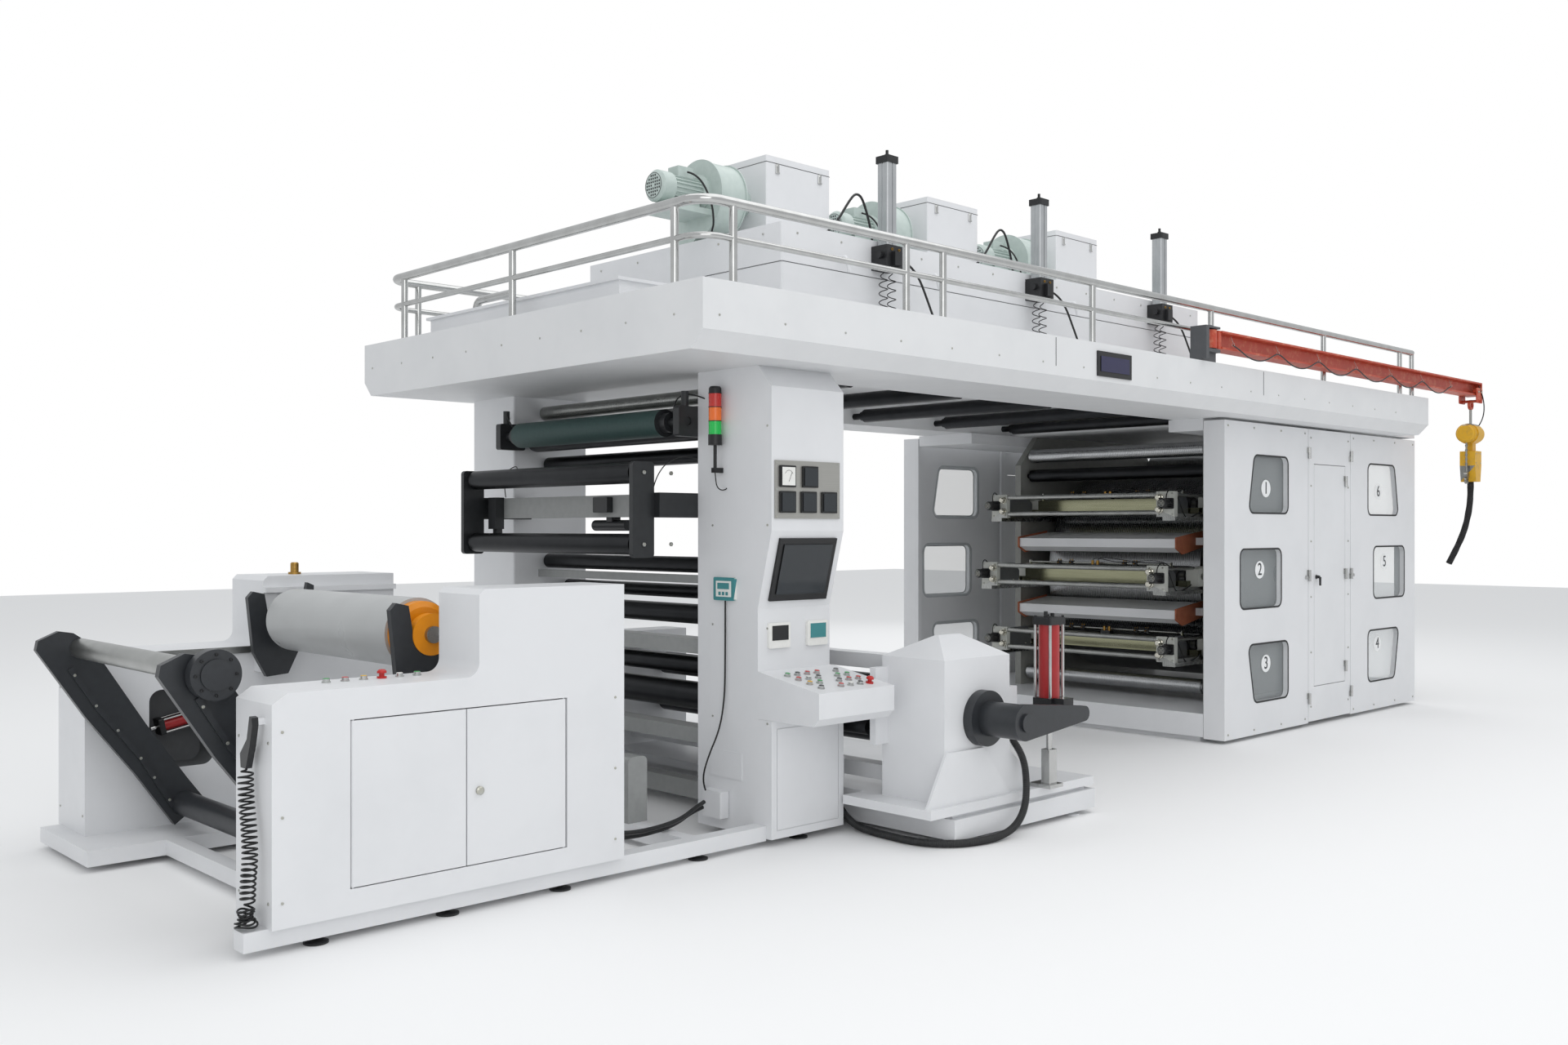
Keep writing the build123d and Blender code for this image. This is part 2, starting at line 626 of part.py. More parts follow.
def inter_dryers():
    """White air boxes between the decks with bent end plates, on both sides of the drum."""
    boxes = []
    end = 12.0
    for level in AIR_BOX_LEVELS:
        near_x = math.sqrt((DRUM_RADIUS + AIR_BOX_GAP) ** 2 - (abs(level - DRUM_Z) - 60) ** 2)
        back_x = near_x + AIR_BOX_DEPTH
        for side in (-1, 1):
            shape = [(near_x, level - 45), (near_x + 318, level - 100), (back_x, level - 60), (back_x, level + 10),
                     (near_x, level + 60)]
            plate = [(near_x, level - 58), (near_x + 322, level - 114), (back_x + 14, level - 66),
                     (back_x + 14, level + 22), (near_x, level + 74)]
            body = side_plate([(side * x, z) for x, z in shape], -AIR_BOX_HALF, AIR_BOX_HALF)
            for y in (-1, 1):
                body = body + side_plate([(side * x, z) for x, z in plate], y * AIR_BOX_HALF, y * (AIR_BOX_HALF + end))
                body = body + box(side * (near_x + 40), side * (near_x + 120), y * (AIR_BOX_HALF + end),
                                  y * (FRAME_INNER - SEAT), level - 40, level + 20)
            boxes.append(body)
    save("deck_dryers", *boxes)


def web_rollers():
    """Web rollers above and below the decks, and under the bridge."""
    rollers = []
    for side in (-1, 1):
        for x, z, radius in ((1000.0, 2250.0, 60.0), (1000.0, 2075.0, 55.0), (1040.0, 330.0, 60.0)):
            rollers.append(journal_roller(side * x, z, radius, 22, FRAME_INNER - 40, FRAME_INNER - SEAT))
    reach = FRAME_INNER + 100 - SEAT
    for x in UNDER_ROLLERS:
        rollers.append(journal_roller(x, DECK_UNDER + 60, UNDER_RADIUS, 25, FRAME_INNER - 20, reach))
    save("housing_rollers", *rollers)


# Bridge platform

def platform():
    """Bridge deck: a tray with sloped lower edges over tower and housing, hollow between the frames."""
    section = [(DECK_NEAR, DECK_TOP), (DECK_FAR, DECK_TOP), (DECK_FAR, DECK_EDGE),
               (DECK_FAR - DECK_INSET, DECK_UNDER), (DECK_NEAR + DECK_INSET, DECK_UNDER), (DECK_NEAR, DECK_EDGE)]
    slab = end_plate(section, DECK_LEFT, DECK_RIGHT)
    hollow = box(TOWER_RIGHT + 60, -FRAME_HALF - 20, -FRAME_INNER - 100, FRAME_INNER + 100,
                 DECK_UNDER - 1, DECK_TOP - DECK_SKIN)
    save("platform_deck", slab - hollow)


def rail_loop(height, radius):
    """Bent tube along both long sides and round the left end, with rounded corners."""
    y_near = DECK_NEAR + RAIL_LINE
    y_far = DECK_FAR - RAIL_LINE
    end = RAIL_POSTS[-1]
    corners = [(end, y_near, height), (RAIL_CORNER, y_near, height), (RAIL_CORNER, y_far, height),
               (end, y_far, height)]
    path = FilletPolyline(*corners, radius=RAIL_BEND)
    return sweep(Plane(origin=corners[0], z_dir=(-1, 0, 0)) * Circle(radius), path=path)


def rail_post(x, y):
    """Handrail post on a turned foot flange."""
    foot = 9.0
    top = RAIL_TOP - RAIL_RADIUS - DECK_TOP
    profile = [(0, 0), (0, POST_RADIUS + 30), (foot, POST_RADIUS + 30), (foot, POST_RADIUS), (top, POST_RADIUS),
               (top, 0)]
    return turned_z(profile, x, y, DECK_TOP)


def handrail():
    """Round tube rails on posts, open at the housing end."""
    y_near = DECK_NEAR + RAIL_LINE
    y_far = DECK_FAR - RAIL_LINE
    top = rail_loop(RAIL_TOP - RAIL_RADIUS, RAIL_RADIUS)
    mid = rail_loop(RAIL_MID - MID_RADIUS, MID_RADIUS)
    posts = [rail_post(x, y) for x in RAIL_POSTS for y in (y_near, y_far)]
    posts += [rail_post(RAIL_CORNER, y) for y in END_POSTS]
    save("handrail", join(top, mid, *posts))


def heater(x):
    """Heater box with a recessed seam under its lid and two round vents on top."""
    x0 = x + 250
    x1 = x0 + HEATER_LENGTH
    y0, y1 = HEATER
    seam = HEATER_TOP - 40
    body = round_edges(box(x0, x1, y0, y1, DRYER_TOP, seam), Axis.Z, 8)
    middle = box(x0 + 4, x1 - 4, y0 + 4, y1 - 4, seam, seam + 3)
    lid = round_edges(box(x0, x1, y0, y1, seam + 3, HEATER_TOP), Axis.Z, 8)
    vents = [rod_z(x0 + 110, y0 + 120 + dy, 26, HEATER_TOP, HEATER_TOP + 22) for dy in (0, 130)]
    pipe = rod_z(x1 - 120, y0 + 260, 38, HEATER_TOP, HEATER_TOP + 60)
    return join(body, middle, lid, pipe, *vents)


def platform_boxes():
    """Dryer box with the seam of its lid and three heater boxes on it, and the low locker with its vent pipe."""
    x0, x1, y0, y1 = DRYER
    seam = 4.0
    low = round_edges(box(x0, x1, y0, y1, DECK_TOP, DRYER_SEAM), Axis.Z, 14)
    middle = box(x0 + seam, x1 - seam, y0 + seam, y1 - seam, DRYER_SEAM, DRYER_SEAM + seam)
    lid = round_edges(box(x0, x1, y0, y1, DRYER_SEAM + seam, DRYER_TOP), Axis.Z, 14)
    heaters = [heater(FAN_X + i * FAN_PITCH) for i in range(3)]
    save("dryer_box", join(low, middle, lid), *heaters)
    x0, x1, y0, y1 = LOCKER
    over = 20.0
    sheet = 16.0
    body = box(x0, x1, y0, y1, DECK_TOP, LOCKER_TOP)
    lid = box(x0 - over, x1 + over, y0 - over, y1 + over, LOCKER_TOP, LOCKER_TOP + sheet)
    x_pipe = x0 + 170
    path = FilletPolyline((x_pipe, y1 - 250, LOCKER_TOP + sheet - 4), (x_pipe, y1 - 250, LOCKER_TOP + 110),
                          (x_pipe, y1 - 640, LOCKER_TOP + 110), radius=55)
    pipe = sweep(Plane(origin=(x_pipe, y1 - 250, LOCKER_TOP + sheet - 4), z_dir=(0, 0, 1)) * Circle(24), path=path)
    save("low_locker", join(body, lid, pipe))


def fan_scroll(grow, x0, x1):
    """Slice of the scroll housing: three quarter arcs of growing radius and an outlet down to the dryer."""
    lines = []
    centre_y = 0.0
    centre_z = 0.0
    for quarter in range(3):
        size = FAN_START + FAN_STEP * quarter + grow
        turns = [math.radians(90 * quarter + part) for part in (0, 45, 90)]
        arc = [(centre_y + size * math.cos(turn), centre_z + size * math.sin(turn)) for turn in turns]
        lines.append(ThreePointArc(*arc))
        if quarter == 0:
            first = arc[0]
        last = arc[2]
        centre_y -= FAN_STEP * math.cos(turns[2])
        centre_z -= FAN_STEP * math.sin(turns[2])
    low = DRYER_TOP - FAN_Z
    left = last[0] + 20
    lines.append(Line(last, (left, low)))
    lines.append(Line((left, low), (first[0], low)))
    lines.append(Line((first[0], low), first))
    return Pos(x0, 0, 0) * extrude(Plane.YZ * make_face(lines), amount=x1 - x0, dir=(1, 0, 0))


def fan():
    """Fan round its own axis: ribbed motor with cowl, terminal box and foot, and the scroll housing."""
    rim = 6.0
    scroll = fan_scroll(0.0, -FAN_HALF, FAN_HALF)
    front = fan_scroll(9.0, -FAN_HALF - rim, -FAN_HALF)
    back = fan_scroll(9.0, FAN_HALF, FAN_HALF + rim)
    inlet = turned_x([(FAN_HALF, 0), (FAN_HALF, 120), (FAN_HALF + 20, 112), (FAN_HALF + 60, 88), (250, 88), (250, 0)],
                     0, 0, 0)
    body = Circle(FAN_MOTOR)
    for angle in range(0, 360, 18):
        body = body + Rot(0, 0, angle) * Pos(FAN_MOTOR + 2, 0) * Rectangle(18, 7)
    ribbed = Pos(-330, 0, 0) * extrude(Plane.YZ * body, amount=210, dir=(1, 0, 0))
    neck = turned_x([(-124, 0), (-124, 92), (-110, 116), (-FAN_HALF, 116), (-FAN_HALF, 0)], 0, 0, 0)
    cowl = turned_x([(-430, 0), (-430, 70), (-418, 86), (-412, 92), (-328, 92), (-328, 0)], 0, 0, 0)
    terminal = round_edges(box(-285, -165, -50, 50, 70, 132), Axis.Z, 10)
    foot = box(-310, -150, -80, 80, -110, -60)
    shelf = box(-440, -FAN_HALF - rim, -130, 130, -142, -108)
    return join(scroll, front, back, inlet, neck, ribbed, cowl, terminal, foot, shelf)


def blowers():
    """Three fans in a row, each feeding the heater box beside it."""
    save("blowers", *[Pos(FAN_X + i * FAN_PITCH, FAN_Y, FAN_Z) * fan() for i in range(3)])


def lift_cylinder(x):
    """Pneumatic cylinder of grooved tube with a square cap, standing on its valve block."""
    half = LIFT_SIDE / 2
    low = DRYER_TOP - 40
    section = fillet(Rectangle(LIFT_SIDE, LIFT_SIDE).vertices(), 12)
    for angle in (0, 90, 180, 270):
        section = section - Rot(0, 0, angle) * Pos(half, 0) * Rectangle(10, 7)
    tube = Pos(x, LIFT_Y, low) * extrude(section, amount=LIFT_TOP - 40 - low)
    cap = round_edges(box(x - 50, x + 50, LIFT_Y - 50, LIFT_Y + 50, LIFT_TOP - 40, LIFT_TOP), Axis.Z, 10)
    fitting = turned_z([(0, 0), (0, 14), (16, 14), (16, 9), (40, 9), (40, 0)], x, LIFT_Y, LIFT_TOP)
    block = box(x - 72, x + 72, LIFT_Y - 66, DRYER[2] - SEAT, low - 140, low)
    side = rod_x(LIFT_Y - 20, low - 60, 20, x - 96, x - 72)
    solenoid = box(x - 30, x + 30, LIFT_Y - 92, LIFT_Y - 66, low - 120, low - 40)
    return join(tube, cap, fitting, block, side, solenoid)


def lift_cylinders():
    """Three upright pneumatic cylinders in front of the dryer box."""
    save("lift_cylinders", *[lift_cylinder(x) for x in LIFTS_X])


# Tower

def on_slant(z):
    """Y of the slanted screen face at a level."""
    return TOWER_NEAR + FACE_STEP * (FACE_HIGH - z) / (FACE_HIGH - FACE_LOW)


def control_column():
    """Control cabinet on the near tower column: slanted screen face, recessed foot panel, overhanging desk."""
    near = TOWER_NEAR
    section = [(CABINET_BACK, TOWER_FOOT), (CABINET_BACK, TOWER_TOP), (near + 100, TOWER_TOP),
               (near, TOWER_TOP - 110), (near, FACE_HIGH), (near + FACE_STEP, FACE_LOW),
               (near + FACE_STEP, DESK_LOW), (near, DESK_LOW), (near, TOWER_FOOT)]
    cabinet = end_plate(section, TOWER_LEFT, TOWER_RIGHT)
    groove = 5.0
    panel = box(TOWER_LEFT + 35, TOWER_RIGHT - 35, near - 1, near + groove, TOWER_FOOT + 40, DESK_LOW - 40)
    core = box(TOWER_LEFT + 35 + groove, TOWER_RIGHT - 35 - groove, near - 1, near + groove,
               TOWER_FOOT + 40 + groove, DESK_LOW - 40 - groove)
    cabinet = cabinet - (panel - core)
    plate = box(TOWER_LEFT - 4, TOWER_LEFT, near + 220, near + 460, 310, 450)
    junction = round_edges(box(TOWER_LEFT - 60, TOWER_LEFT, near + 320, near + 470, 105, 242), Axis.Z, 8)
    gland = box(TOWER_RIGHT, TOWER_RIGHT + 92, -1377, -1293, REWIND_CABLE[-1][2] + SEAT, 380)
    save("control_cabinet", join(cabinet, plate, junction, gland))
    back = near + FACE_STEP - SEAT
    desk = end_plate([(back, DESK_BACK), (DESK_FRONT, DESK_LIP), (DESK_FRONT, DESK_LOW + 40),
                      (DESK_FRONT + 40, DESK_LOW + 1), (back, DESK_LOW + 1)], TOWER_LEFT, TOWER_RIGHT + 25)
    save("control_desk", desk)


def face_meter(x, z, width, height, depth):
    """Square instrument with a stepped front on the cabinet's upright face."""
    face = TOWER_NEAR - 8
    frame = box(x - width / 2, x + width / 2, face - depth, face, z - height / 2, z + height / 2)
    frame = round_edges(frame, Axis.Y, 5)
    glass = box(x - width / 2 + 9, x + width / 2 - 9, face - depth - 4, face - depth, z - height / 2 + 9,
                z + height / 2 - 9)
    return frame + glass


def control_screens():
    """Meter panel, slanted touch screen, two instruments under it, and the small display on the bridge."""
    left = TOWER_LEFT + 18
    panel = box(left, TOWER_RIGHT - 36, TOWER_NEAR - 8, TOWER_NEAR - SEAT, 1653, 1947)
    for x, z in ((-6290, 1867), (-6130, 1867), (-6290, 1737), (-6140, 1737), (-5990, 1737)):
        panel = panel + face_meter(x, z, 110, 110, 10)
    slope = math.degrees(math.atan2(FACE_STEP, FACE_HIGH - FACE_LOW))
    centre = (FACE_HIGH + FACE_LOW) / 2
    lift = (7 + SEAT) / math.cos(math.radians(slope))
    bezel = Pos(-6125, on_slant(centre) - lift, centre) * Rot(slope, 0, 0) * Box(410, 14, 330)
    lift = (14 + 3 + SEAT) / math.cos(math.radians(slope))
    glass = Pos(-6125, on_slant(centre) - lift, centre) * Rot(slope, 0, 0) * Box(350, 7, 262)
    face = TOWER_NEAR + FACE_STEP - SEAT
    dials = []
    for x in (-6250, -5975):
        case = round_edges(box(x - 75, x + 75, face - 16, face, 990, 1120), Axis.Y, 10)
        window = box(x - 58, x + 58, face - 20, face - 16, 1030, 1106)
        dials.append(case + window)
    side = round_edges(box(TOWER_LEFT - 22, TOWER_LEFT - SEAT, -1200, -1040, 1230, 1350), Axis.X, 8)
    display = box(-3870, -3490, DECK_NEAR - 10, DECK_NEAR - SEAT, 2545, 2700)
    display = display + box(-3840, -3520, DECK_NEAR - 14, DECK_NEAR - 10, 2575, 2670)
    save("displays", panel, *dials, side, bezel + glass, display)


def push_button(head):
    """Button with its collar, standing on z = 0."""
    return turned_z([(0, 0), (0, head + 4), (5, head + 4), (5, head), (16, head), (18, head - 3), (18, 0)], 0, 0, 0)


def stop_button():
    """Mushroom stop button with its collar, standing on z = 0."""
    return turned_z([(0, 0), (0, 20), (8, 20), (8, 11), (20, 11), (22, 20), (30, 19), (36, 12), (38, 0)], 0, 0, 0)


def push_buttons():
    """Buttons on the desk's top and on the low top of the unwinder's cabinet."""
    solids = []
    back = TOWER_NEAR + FACE_STEP
    tilt = math.degrees(math.atan2(DESK_BACK - DESK_LIP, back - DESK_FRONT))
    for column, x in enumerate((-6300, -6230, -6160, -6090, -6020, -5950)):
        for row, y in enumerate((-1480, -1560, -1640, -1720)):
            z = DESK_LIP + (DESK_BACK - DESK_LIP) * (y - DESK_FRONT) / (back - DESK_FRONT)
            button = push_button(14)
            if column == 5 and row == 3:
                button = stop_button()
            elif (column + row) % 5 == 4:
                continue
            solids.append(Pos(x, y, z + SEAT) * Rot(tilt, 0, 0) * button)
    for x in (-8620, -8540, -8460, -8300, -8220):
        solids.append(Pos(x, -1230, UNWIND_LOW_TOP + SEAT) * push_button(14))
    solids.append(Pos(-8380, -1230, UNWIND_LOW_TOP + SEAT) * stop_button())
    save("push_buttons", *solids)


def stack_light():
    """Stack light on a thin pole with a clamp on the cabinet's left face."""
    x = TOWER_LEFT - 45
    profile = [(1900, 0), (1900, 9), (2035, 9), (2035, 36), (2090, 36), (2090, 33)]
    for i in range(1, 4):
        z = 2090 + i * 72
        profile += [(z - 4, 33), (z - 4, 35), (z, 35), (z, 33)]
    profile += [(2330, 33), (2340, 26), (2340, 0)]
    clamp = box(x - 14, TOWER_LEFT - SEAT, -1094, -1066, 1892, 1918)
    save("stack_light", turned_z(profile, x, -1080, 0) + clamp)


def tower_frames():
    """Side plate behind the control cabinet, and the far tower column."""
    near = box(TOWER_LEFT, TOWER_RIGHT, CABINET_BACK + SEAT, -TOWER_INNER, TOWER_FOOT, TOWER_TOP)
    far = box(TOWER_LEFT, TOWER_RIGHT + 30, TOWER_INNER, TOWER_FAR, TOWER_FOOT, TOWER_TOP)
    save("tower_frames", near, round_edges(far, Axis.Z, 12))


def across(x, z, radius, neck=18.0, margin=25.0):
    """Roller between the tower frames with its stepped journals."""
    return journal_roller(x, z, radius, neck, TOWER_INNER - margin - 12, TOWER_INNER - SEAT)


IDLERS = (
    (-6180, 2330, 45), (-6240, 2180, 95), (-6150, 2010, 45), (-6150, 1400, 45),
    (-6200, 1130, 55), (-6220, 850, 50), (-6250, 690, 75), (-6000, 1240, 40),
)


def tower_inside():
    """Beams between the tower columns, floor stands, nip roller, and the idlers of tower, stands and guide frame."""
    half = TOWER_INNER - SEAT
    beams = [box(-6310, -6190, -half, half, 925, 1005), box(-6310, -6190, -half, half, 445, 525),
             box(-6050, -5950, -half, half, 60, 160)]
    lamp = box(-6210, -6180, -half, half, 1300, 1345)
    idlers = [across(x, z, radius) for x, z, radius in IDLERS]
    idlers += [journal_roller(-6800, z, radius, 20, 735, 830) for z, radius in ((215, 60), (370, 50))]
    idlers += [journal_roller(-6720, z, 56, 15, 785, 815 - SEAT) for z in (1893.0, 1520.0)]
    save("tower_idlers", *idlers)
    save("nip_roller", journal_roller(-6460, 2170, 75, 25, 700, TOWER_INNER - 10))
    stands = []
    for side in (-1, 1):
        stand = box(-6860, -6740, side * 770, side * 900, UNWIND_FOOT, 440)
        stand = round_top(stand, Axis.Y, 30)
        for z in (215, 370):
            stand = stand - rod_y(-6800, z, 20 + SEAT, side * 760, side * 832)
        stands.append(stand)
    save("tower_beams", *beams, lamp, *stands)


def web_guide():
    """Nip roller's blocks, and the guide frame with sensors on its cross beam and its actuator."""
    blocks = []
    plates = []
    for side in (-1, 1):
        block = box(-6520, -6340, side * (TOWER_INNER - 50), side * (TOWER_INNER - SEAT), 2090, 2250)
        block = round_edges(block, Axis.Y, 14)
        bore = rod_y(-6460, 2170, 25 + SEAT, -TOWER_INNER, TOWER_INNER)
        lift = rod_z(-6460, side * (TOWER_INNER - 25), 20, 2250, 2330)
        blocks.append(block + lift - bore)
        plate = round_edges(box(-6790, -6650, side * 815, side * 845, 1450, 1950), Axis.Y, 22)
        plates.append(plate)
        plates.append(box(-6650, -6300, side * 830, side * (TOWER_INNER - SEAT), 1660, 1790))
        sensor = box(-6660, -6600, side * 670, side * 750, 1600, 1790)
        plates.append(sensor + box(-6640, -6600, side * 690, side * 730, 1560, 1600))
    cross = box(-6600, -6480, -830, 830, 1665, 1785)
    actuator = rod_y(-6540, 1620, 30, -480, -180) + box(-6570, -6510, -370, -320, 1640, 1665)
    cover = round_edges(box(-6640, -6600, -420, -290, 1690, 1775), Axis.X, 8)
    save("web_guide_frame", join(*plates, cross, actuator, cover), *blocks)


# Unwinder

def cabinet_side(y0, y1):
    """Unwinder cabinet seen from the side: low at the loading end, a rounded step, tall behind."""
    step = UNWIND_STEP
    low = UNWIND_LOW_TOP
    radius = 60.0
    lines = Polyline((step - radius, low), (UNWIND_LEFT + 60, low), (UNWIND_LEFT, low - 40),
                     (UNWIND_LEFT, UNWIND_FOOT), (UNWIND_RIGHT, UNWIND_FOOT), (UNWIND_RIGHT, UNWIND_TALL_TOP),
                     (step + 25, UNWIND_TALL_TOP), (step, UNWIND_TALL_TOP - 25), (step, low + radius))
    middle = radius * math.sqrt(0.5)
    bend = ThreePointArc((step, low + radius), (step - radius + middle, low + radius - middle), (step - radius, low))
    face = make_face([lines, bend])
    return Pos(0, y0, 0) * extrude(Plane.XZ * face, amount=y1 - y0, dir=(0, 1, 0))


def unwinder_cabinets():
    """Near cabinet with two doors, and the far cabinet with its open pocket and slide rail."""
    near = cabinet_side(UNWIND_NEAR, UNWIND_NEAR_INNER)
    x0, x1, z0, z1 = CAB_DOOR
    hole = box(x0, x1, UNWIND_NEAR - 1, UNWIND_NEAR_INNER - CAB_WALL, z0, z1)
    near = near - hole
    pin = 5.0
    edge = 10.0
    pin_y = UNWIND_NEAR + edge
    pins_x = (x0 + CAB_DOOR_GAP + edge, x1 - CAB_DOOR_GAP - edge)
    for x in pins_x:
        near = near - rod_z(x, pin_y, pin + SEAT, z0 - 12, z0 + 1)
        near = near - rod_z(x, pin_y, pin + SEAT, z1 - 1, z1 + 12)
    face = UNWIND_LEFT
    hook = box(face - 25, face, -1398, -1374, 868, 892)
    fitting = box(face - 57, face, -1290, -1262, 125, 155) + rod_y(face - 45, 140, 9, -1317, -1280)
    save("unwinder_near_cabinet", join(near, hook, fitting))

    for name, x, free in (("cabinet_door_left", pins_x[0], CAB_MIDDLE - SLIDE_GAP),
                          ("cabinet_door_right", pins_x[1], CAB_MIDDLE + SLIDE_GAP)):
        leaf = box(x, free, UNWIND_NEAR, UNWIND_NEAR + 2 * edge, z0 + 5, z1 - 5)
        door = join(leaf, rod_z(x, pin_y, edge, z0 + 5, z1 - 5), rod_z(x, pin_y, pin, z0 - 10, z1 + 10))
        if x > CAB_MIDDLE:
            lock = turned_y([(-14, 0), (-14, 12), (-10, 18), (0, 18), (0, 0)], CAB_MIDDLE + 60, UNWIND_NEAR, 512)
            door = door + lock
        save(name, door)

    far = cabinet_side(UNWIND_FAR_INNER, UNWIND_FAR)
    x0, x1, z0, z1 = POCKET
    pocket = box(x0, x1, UNWIND_FAR_INNER - 1, UNWIND_FAR_INNER + POCKET_DEPTH, z0, z1)
    far = far - round_edges(pocket, Axis.Y, 60)
    far = far - rod_y(ARM_X, ARM_Z, ARM_SHAFT + SEAT, UNWIND_FAR_INNER - 1, UNWIND_FAR_INNER + 120)
    cap = turned_z([(0, 0), (0, 34), (12, 34), (12, 22), (60, 22), (66, 16), (66, 0)], -7800, 900, UNWIND_TALL_TOP)
    rail = box(-8750, -8100, UNWIND_FAR_INNER - 18, UNWIND_FAR_INNER, 950, UNWIND_LOW_TOP)
    ledge = box(UNWIND_STEP, UNWIND_RIGHT, UNWIND_FAR_INNER - 30, UNWIND_FAR_INNER, 1262, 1290)
    save("unwinder_far_cabinet", join(far, cap, rail, ledge))


def arm_cylinder():
    """Cylinder in the pocket: barrel between two square caps on four tie rods, rod and clevis."""
    half = 74.0
    barrel = rod_x(0, 0, 30, -half, half)
    caps = [round_edges(box(x, x + 26, -42, 42, -42, 42), Axis.X, 8) for x in (-half - 26, half)]
    ties = [rod_x(y, z, 5, -half - 12, half + 12) for y in (-33, 33) for z in (-33, 33)]
    rod_end = rod_x(0, 0, 12, -half - 70, -half - 20)
    eye = box(-half - 88, -half - 62, -18, 18, -18, 18)
    rear = box(half + 26, half + 52, -20, 20, -26, 26)
    whole = join(barrel, *caps, *ties, rod_end, eye, rear)
    x0, x1, z0, z1 = POCKET
    foot = box(x1 - 40, x1 - SEAT, UNWIND_FAR_INNER + 66, UNWIND_FAR_INNER + 114, 600, 680)
    turned = Pos(x1 - 152, UNWIND_FAR_INNER + 90, 612) * Rot(0, -12, 0) * whole
    save("arm_cylinder", turned + foot)


def sills():
    """Floor rails under the unwinder and the tower, with cross beams, and the levelling feet."""
    end = TOWER_LEFT - SEAT
    near = box(-9030, end, -1420, -1330, SILL_LOW, UNWIND_FOOT)
    plinth = box(-9030, -7250, 360, UNWIND_FAR - 20, SILL_LOW, UNWIND_FOOT)
    far = box(-7250, end, 1000, 1090, SILL_LOW, UNWIND_FOOT)
    beams = [box(x, x + 76, -1331, 1001, SILL_LOW, UNWIND_FOOT) for x in (-8676, -7420, -6860)]
    save("floor_sills", join(near, plinth, far, *beams))
    places = [(x, y, SILL_LOW) for x in (-8730, -8160, -7600, -6800) for y in (-1375, 1045)]
    places += [(-6120, y, TOWER_FOOT) for y in (-1375, -935, 1130)]
    feet = []
    for x, y, top in places:
        profile = [(0, 0), (0, 48), (8, 48), (14, 30), (14, 11), (18, 11), (18, 19), (27, 19), (27, 11), (top, 11),
                   (top, 0)]
        feet.append(turned_z(profile, x, y, 0))
    save("levelling_feet", *feet)


def forks():
    """Two black U forks that carry the roll's bearings, and their brackets."""
    solids = []
    lip = SEAT_RADIUS + SEAT
    for y in FORKS_Y:
        outside = Polyline((-8100, 830), (-7985, 840), (-7850, 1120), (-7845, 1300), (-7880, 1316),
                           (ROLL_X + lip, 1180), (ROLL_X + lip, ROLL_Z))
        seat = ThreePointArc((ROLL_X + lip, ROLL_Z), (ROLL_X, ROLL_Z - lip), (ROLL_X - lip, ROLL_Z))
        other = Polyline((ROLL_X - lip, ROLL_Z), (ROLL_X - lip, 1160), (-8112, 1262), (-8172, 1276), (-8200, 1245),
                         (-8170, 960), (-8100, 830))
        face = make_face([outside, seat, other])
        solids.append(Pos(0, y, 0) * extrude(Plane.XZ * face, amount=FORK_THICK, dir=(0, 1, 0)))
    near_arm = box(-8110, -8030, UNWIND_NEAR_INNER + SEAT, FORKS_Y[0], 850, 940)
    far_arm = box(-8110, -8030, FORKS_Y[1] + FORK_THICK, UNWIND_FAR_INNER - SEAT, 850, 940)
    save("roll_forks", solids[0] + near_arm, solids[1] + far_arm)


def arm_point(distance, across_arm):
    """Point on an arm by its distance from the shaft and its offset from the centre line."""
    lean = math.radians(ARM_LEAN)
    x = ARM_X - distance * math.sin(lean) - across_arm * math.cos(lean)
    z = ARM_Z + distance * math.cos(lean) - across_arm * math.sin(lean)
    return x, z


def loading_arms():
    """Torsion shaft with two plate arms that have a cranked rib, and the loading bar with its chucks."""
    far = UNWIND_FAR_INNER + 115
    shaft = rod_y(ARM_X, ARM_Z, ARM_SHAFT, UNWIND_NEAR_INNER + SEAT, far)
    bar_x, bar_z = arm_point(ARM_LENGTH, 0)
    shape = [(-66, 92), (264, 110), (636, 150), (ARM_LENGTH + 97, 164), (ARM_LENGTH + 131, 134),
             (ARM_LENGTH + 120, 36), (ARM_LENGTH + 78, -12), (ARM_LENGTH, -46), (805, -50), (445, -56), (97, -77),
             (-47, -90)]
    rib = [(20, 62), (330, 62), (640, 96), (880, 100), (880, 76), (645, 72), (335, 38), (20, 38)]
    arms = []
    for y in (ARM_NEAR, ARM_FAR):
        plate = side_plate([arm_point(d, a) for d, a in shape], y, y + ARM_THICK)
        raised = side_plate([arm_point(d, a) for d, a in rib], y - 10, y)
        bore = rod_y(bar_x, bar_z, BAR_NECK + SEAT, y - 11, y + ARM_THICK + 1)
        arms.append(plate + raised - bore)
    save("loading_arms", join(shaft, *arms))
    reach = 60.0
    profile = [(ARM_NEAR - 82, 0), (ARM_NEAR - 82, 62), (ARM_NEAR - 74, 62), (ARM_NEAR - 74, 100),
               (ARM_NEAR - 20, 100), (ARM_NEAR - 20, 70), (ARM_NEAR - 1, 70), (ARM_NEAR - 1, BAR_NECK),
               (ARM_NEAR + ARM_THICK + 1, BAR_NECK), (ARM_NEAR + ARM_THICK + 1, 70), (ARM_NEAR + ARM_THICK + 12, 70),
               (ARM_NEAR + ARM_THICK + 12, 48), (ARM_FAR - 1, 48), (ARM_FAR - 1, BAR_NECK),
               (ARM_FAR + ARM_THICK + reach, BAR_NECK), (ARM_FAR + ARM_THICK + reach, 0)]
    save("loading_bar", turned_y(profile, bar_x, 0, bar_z))


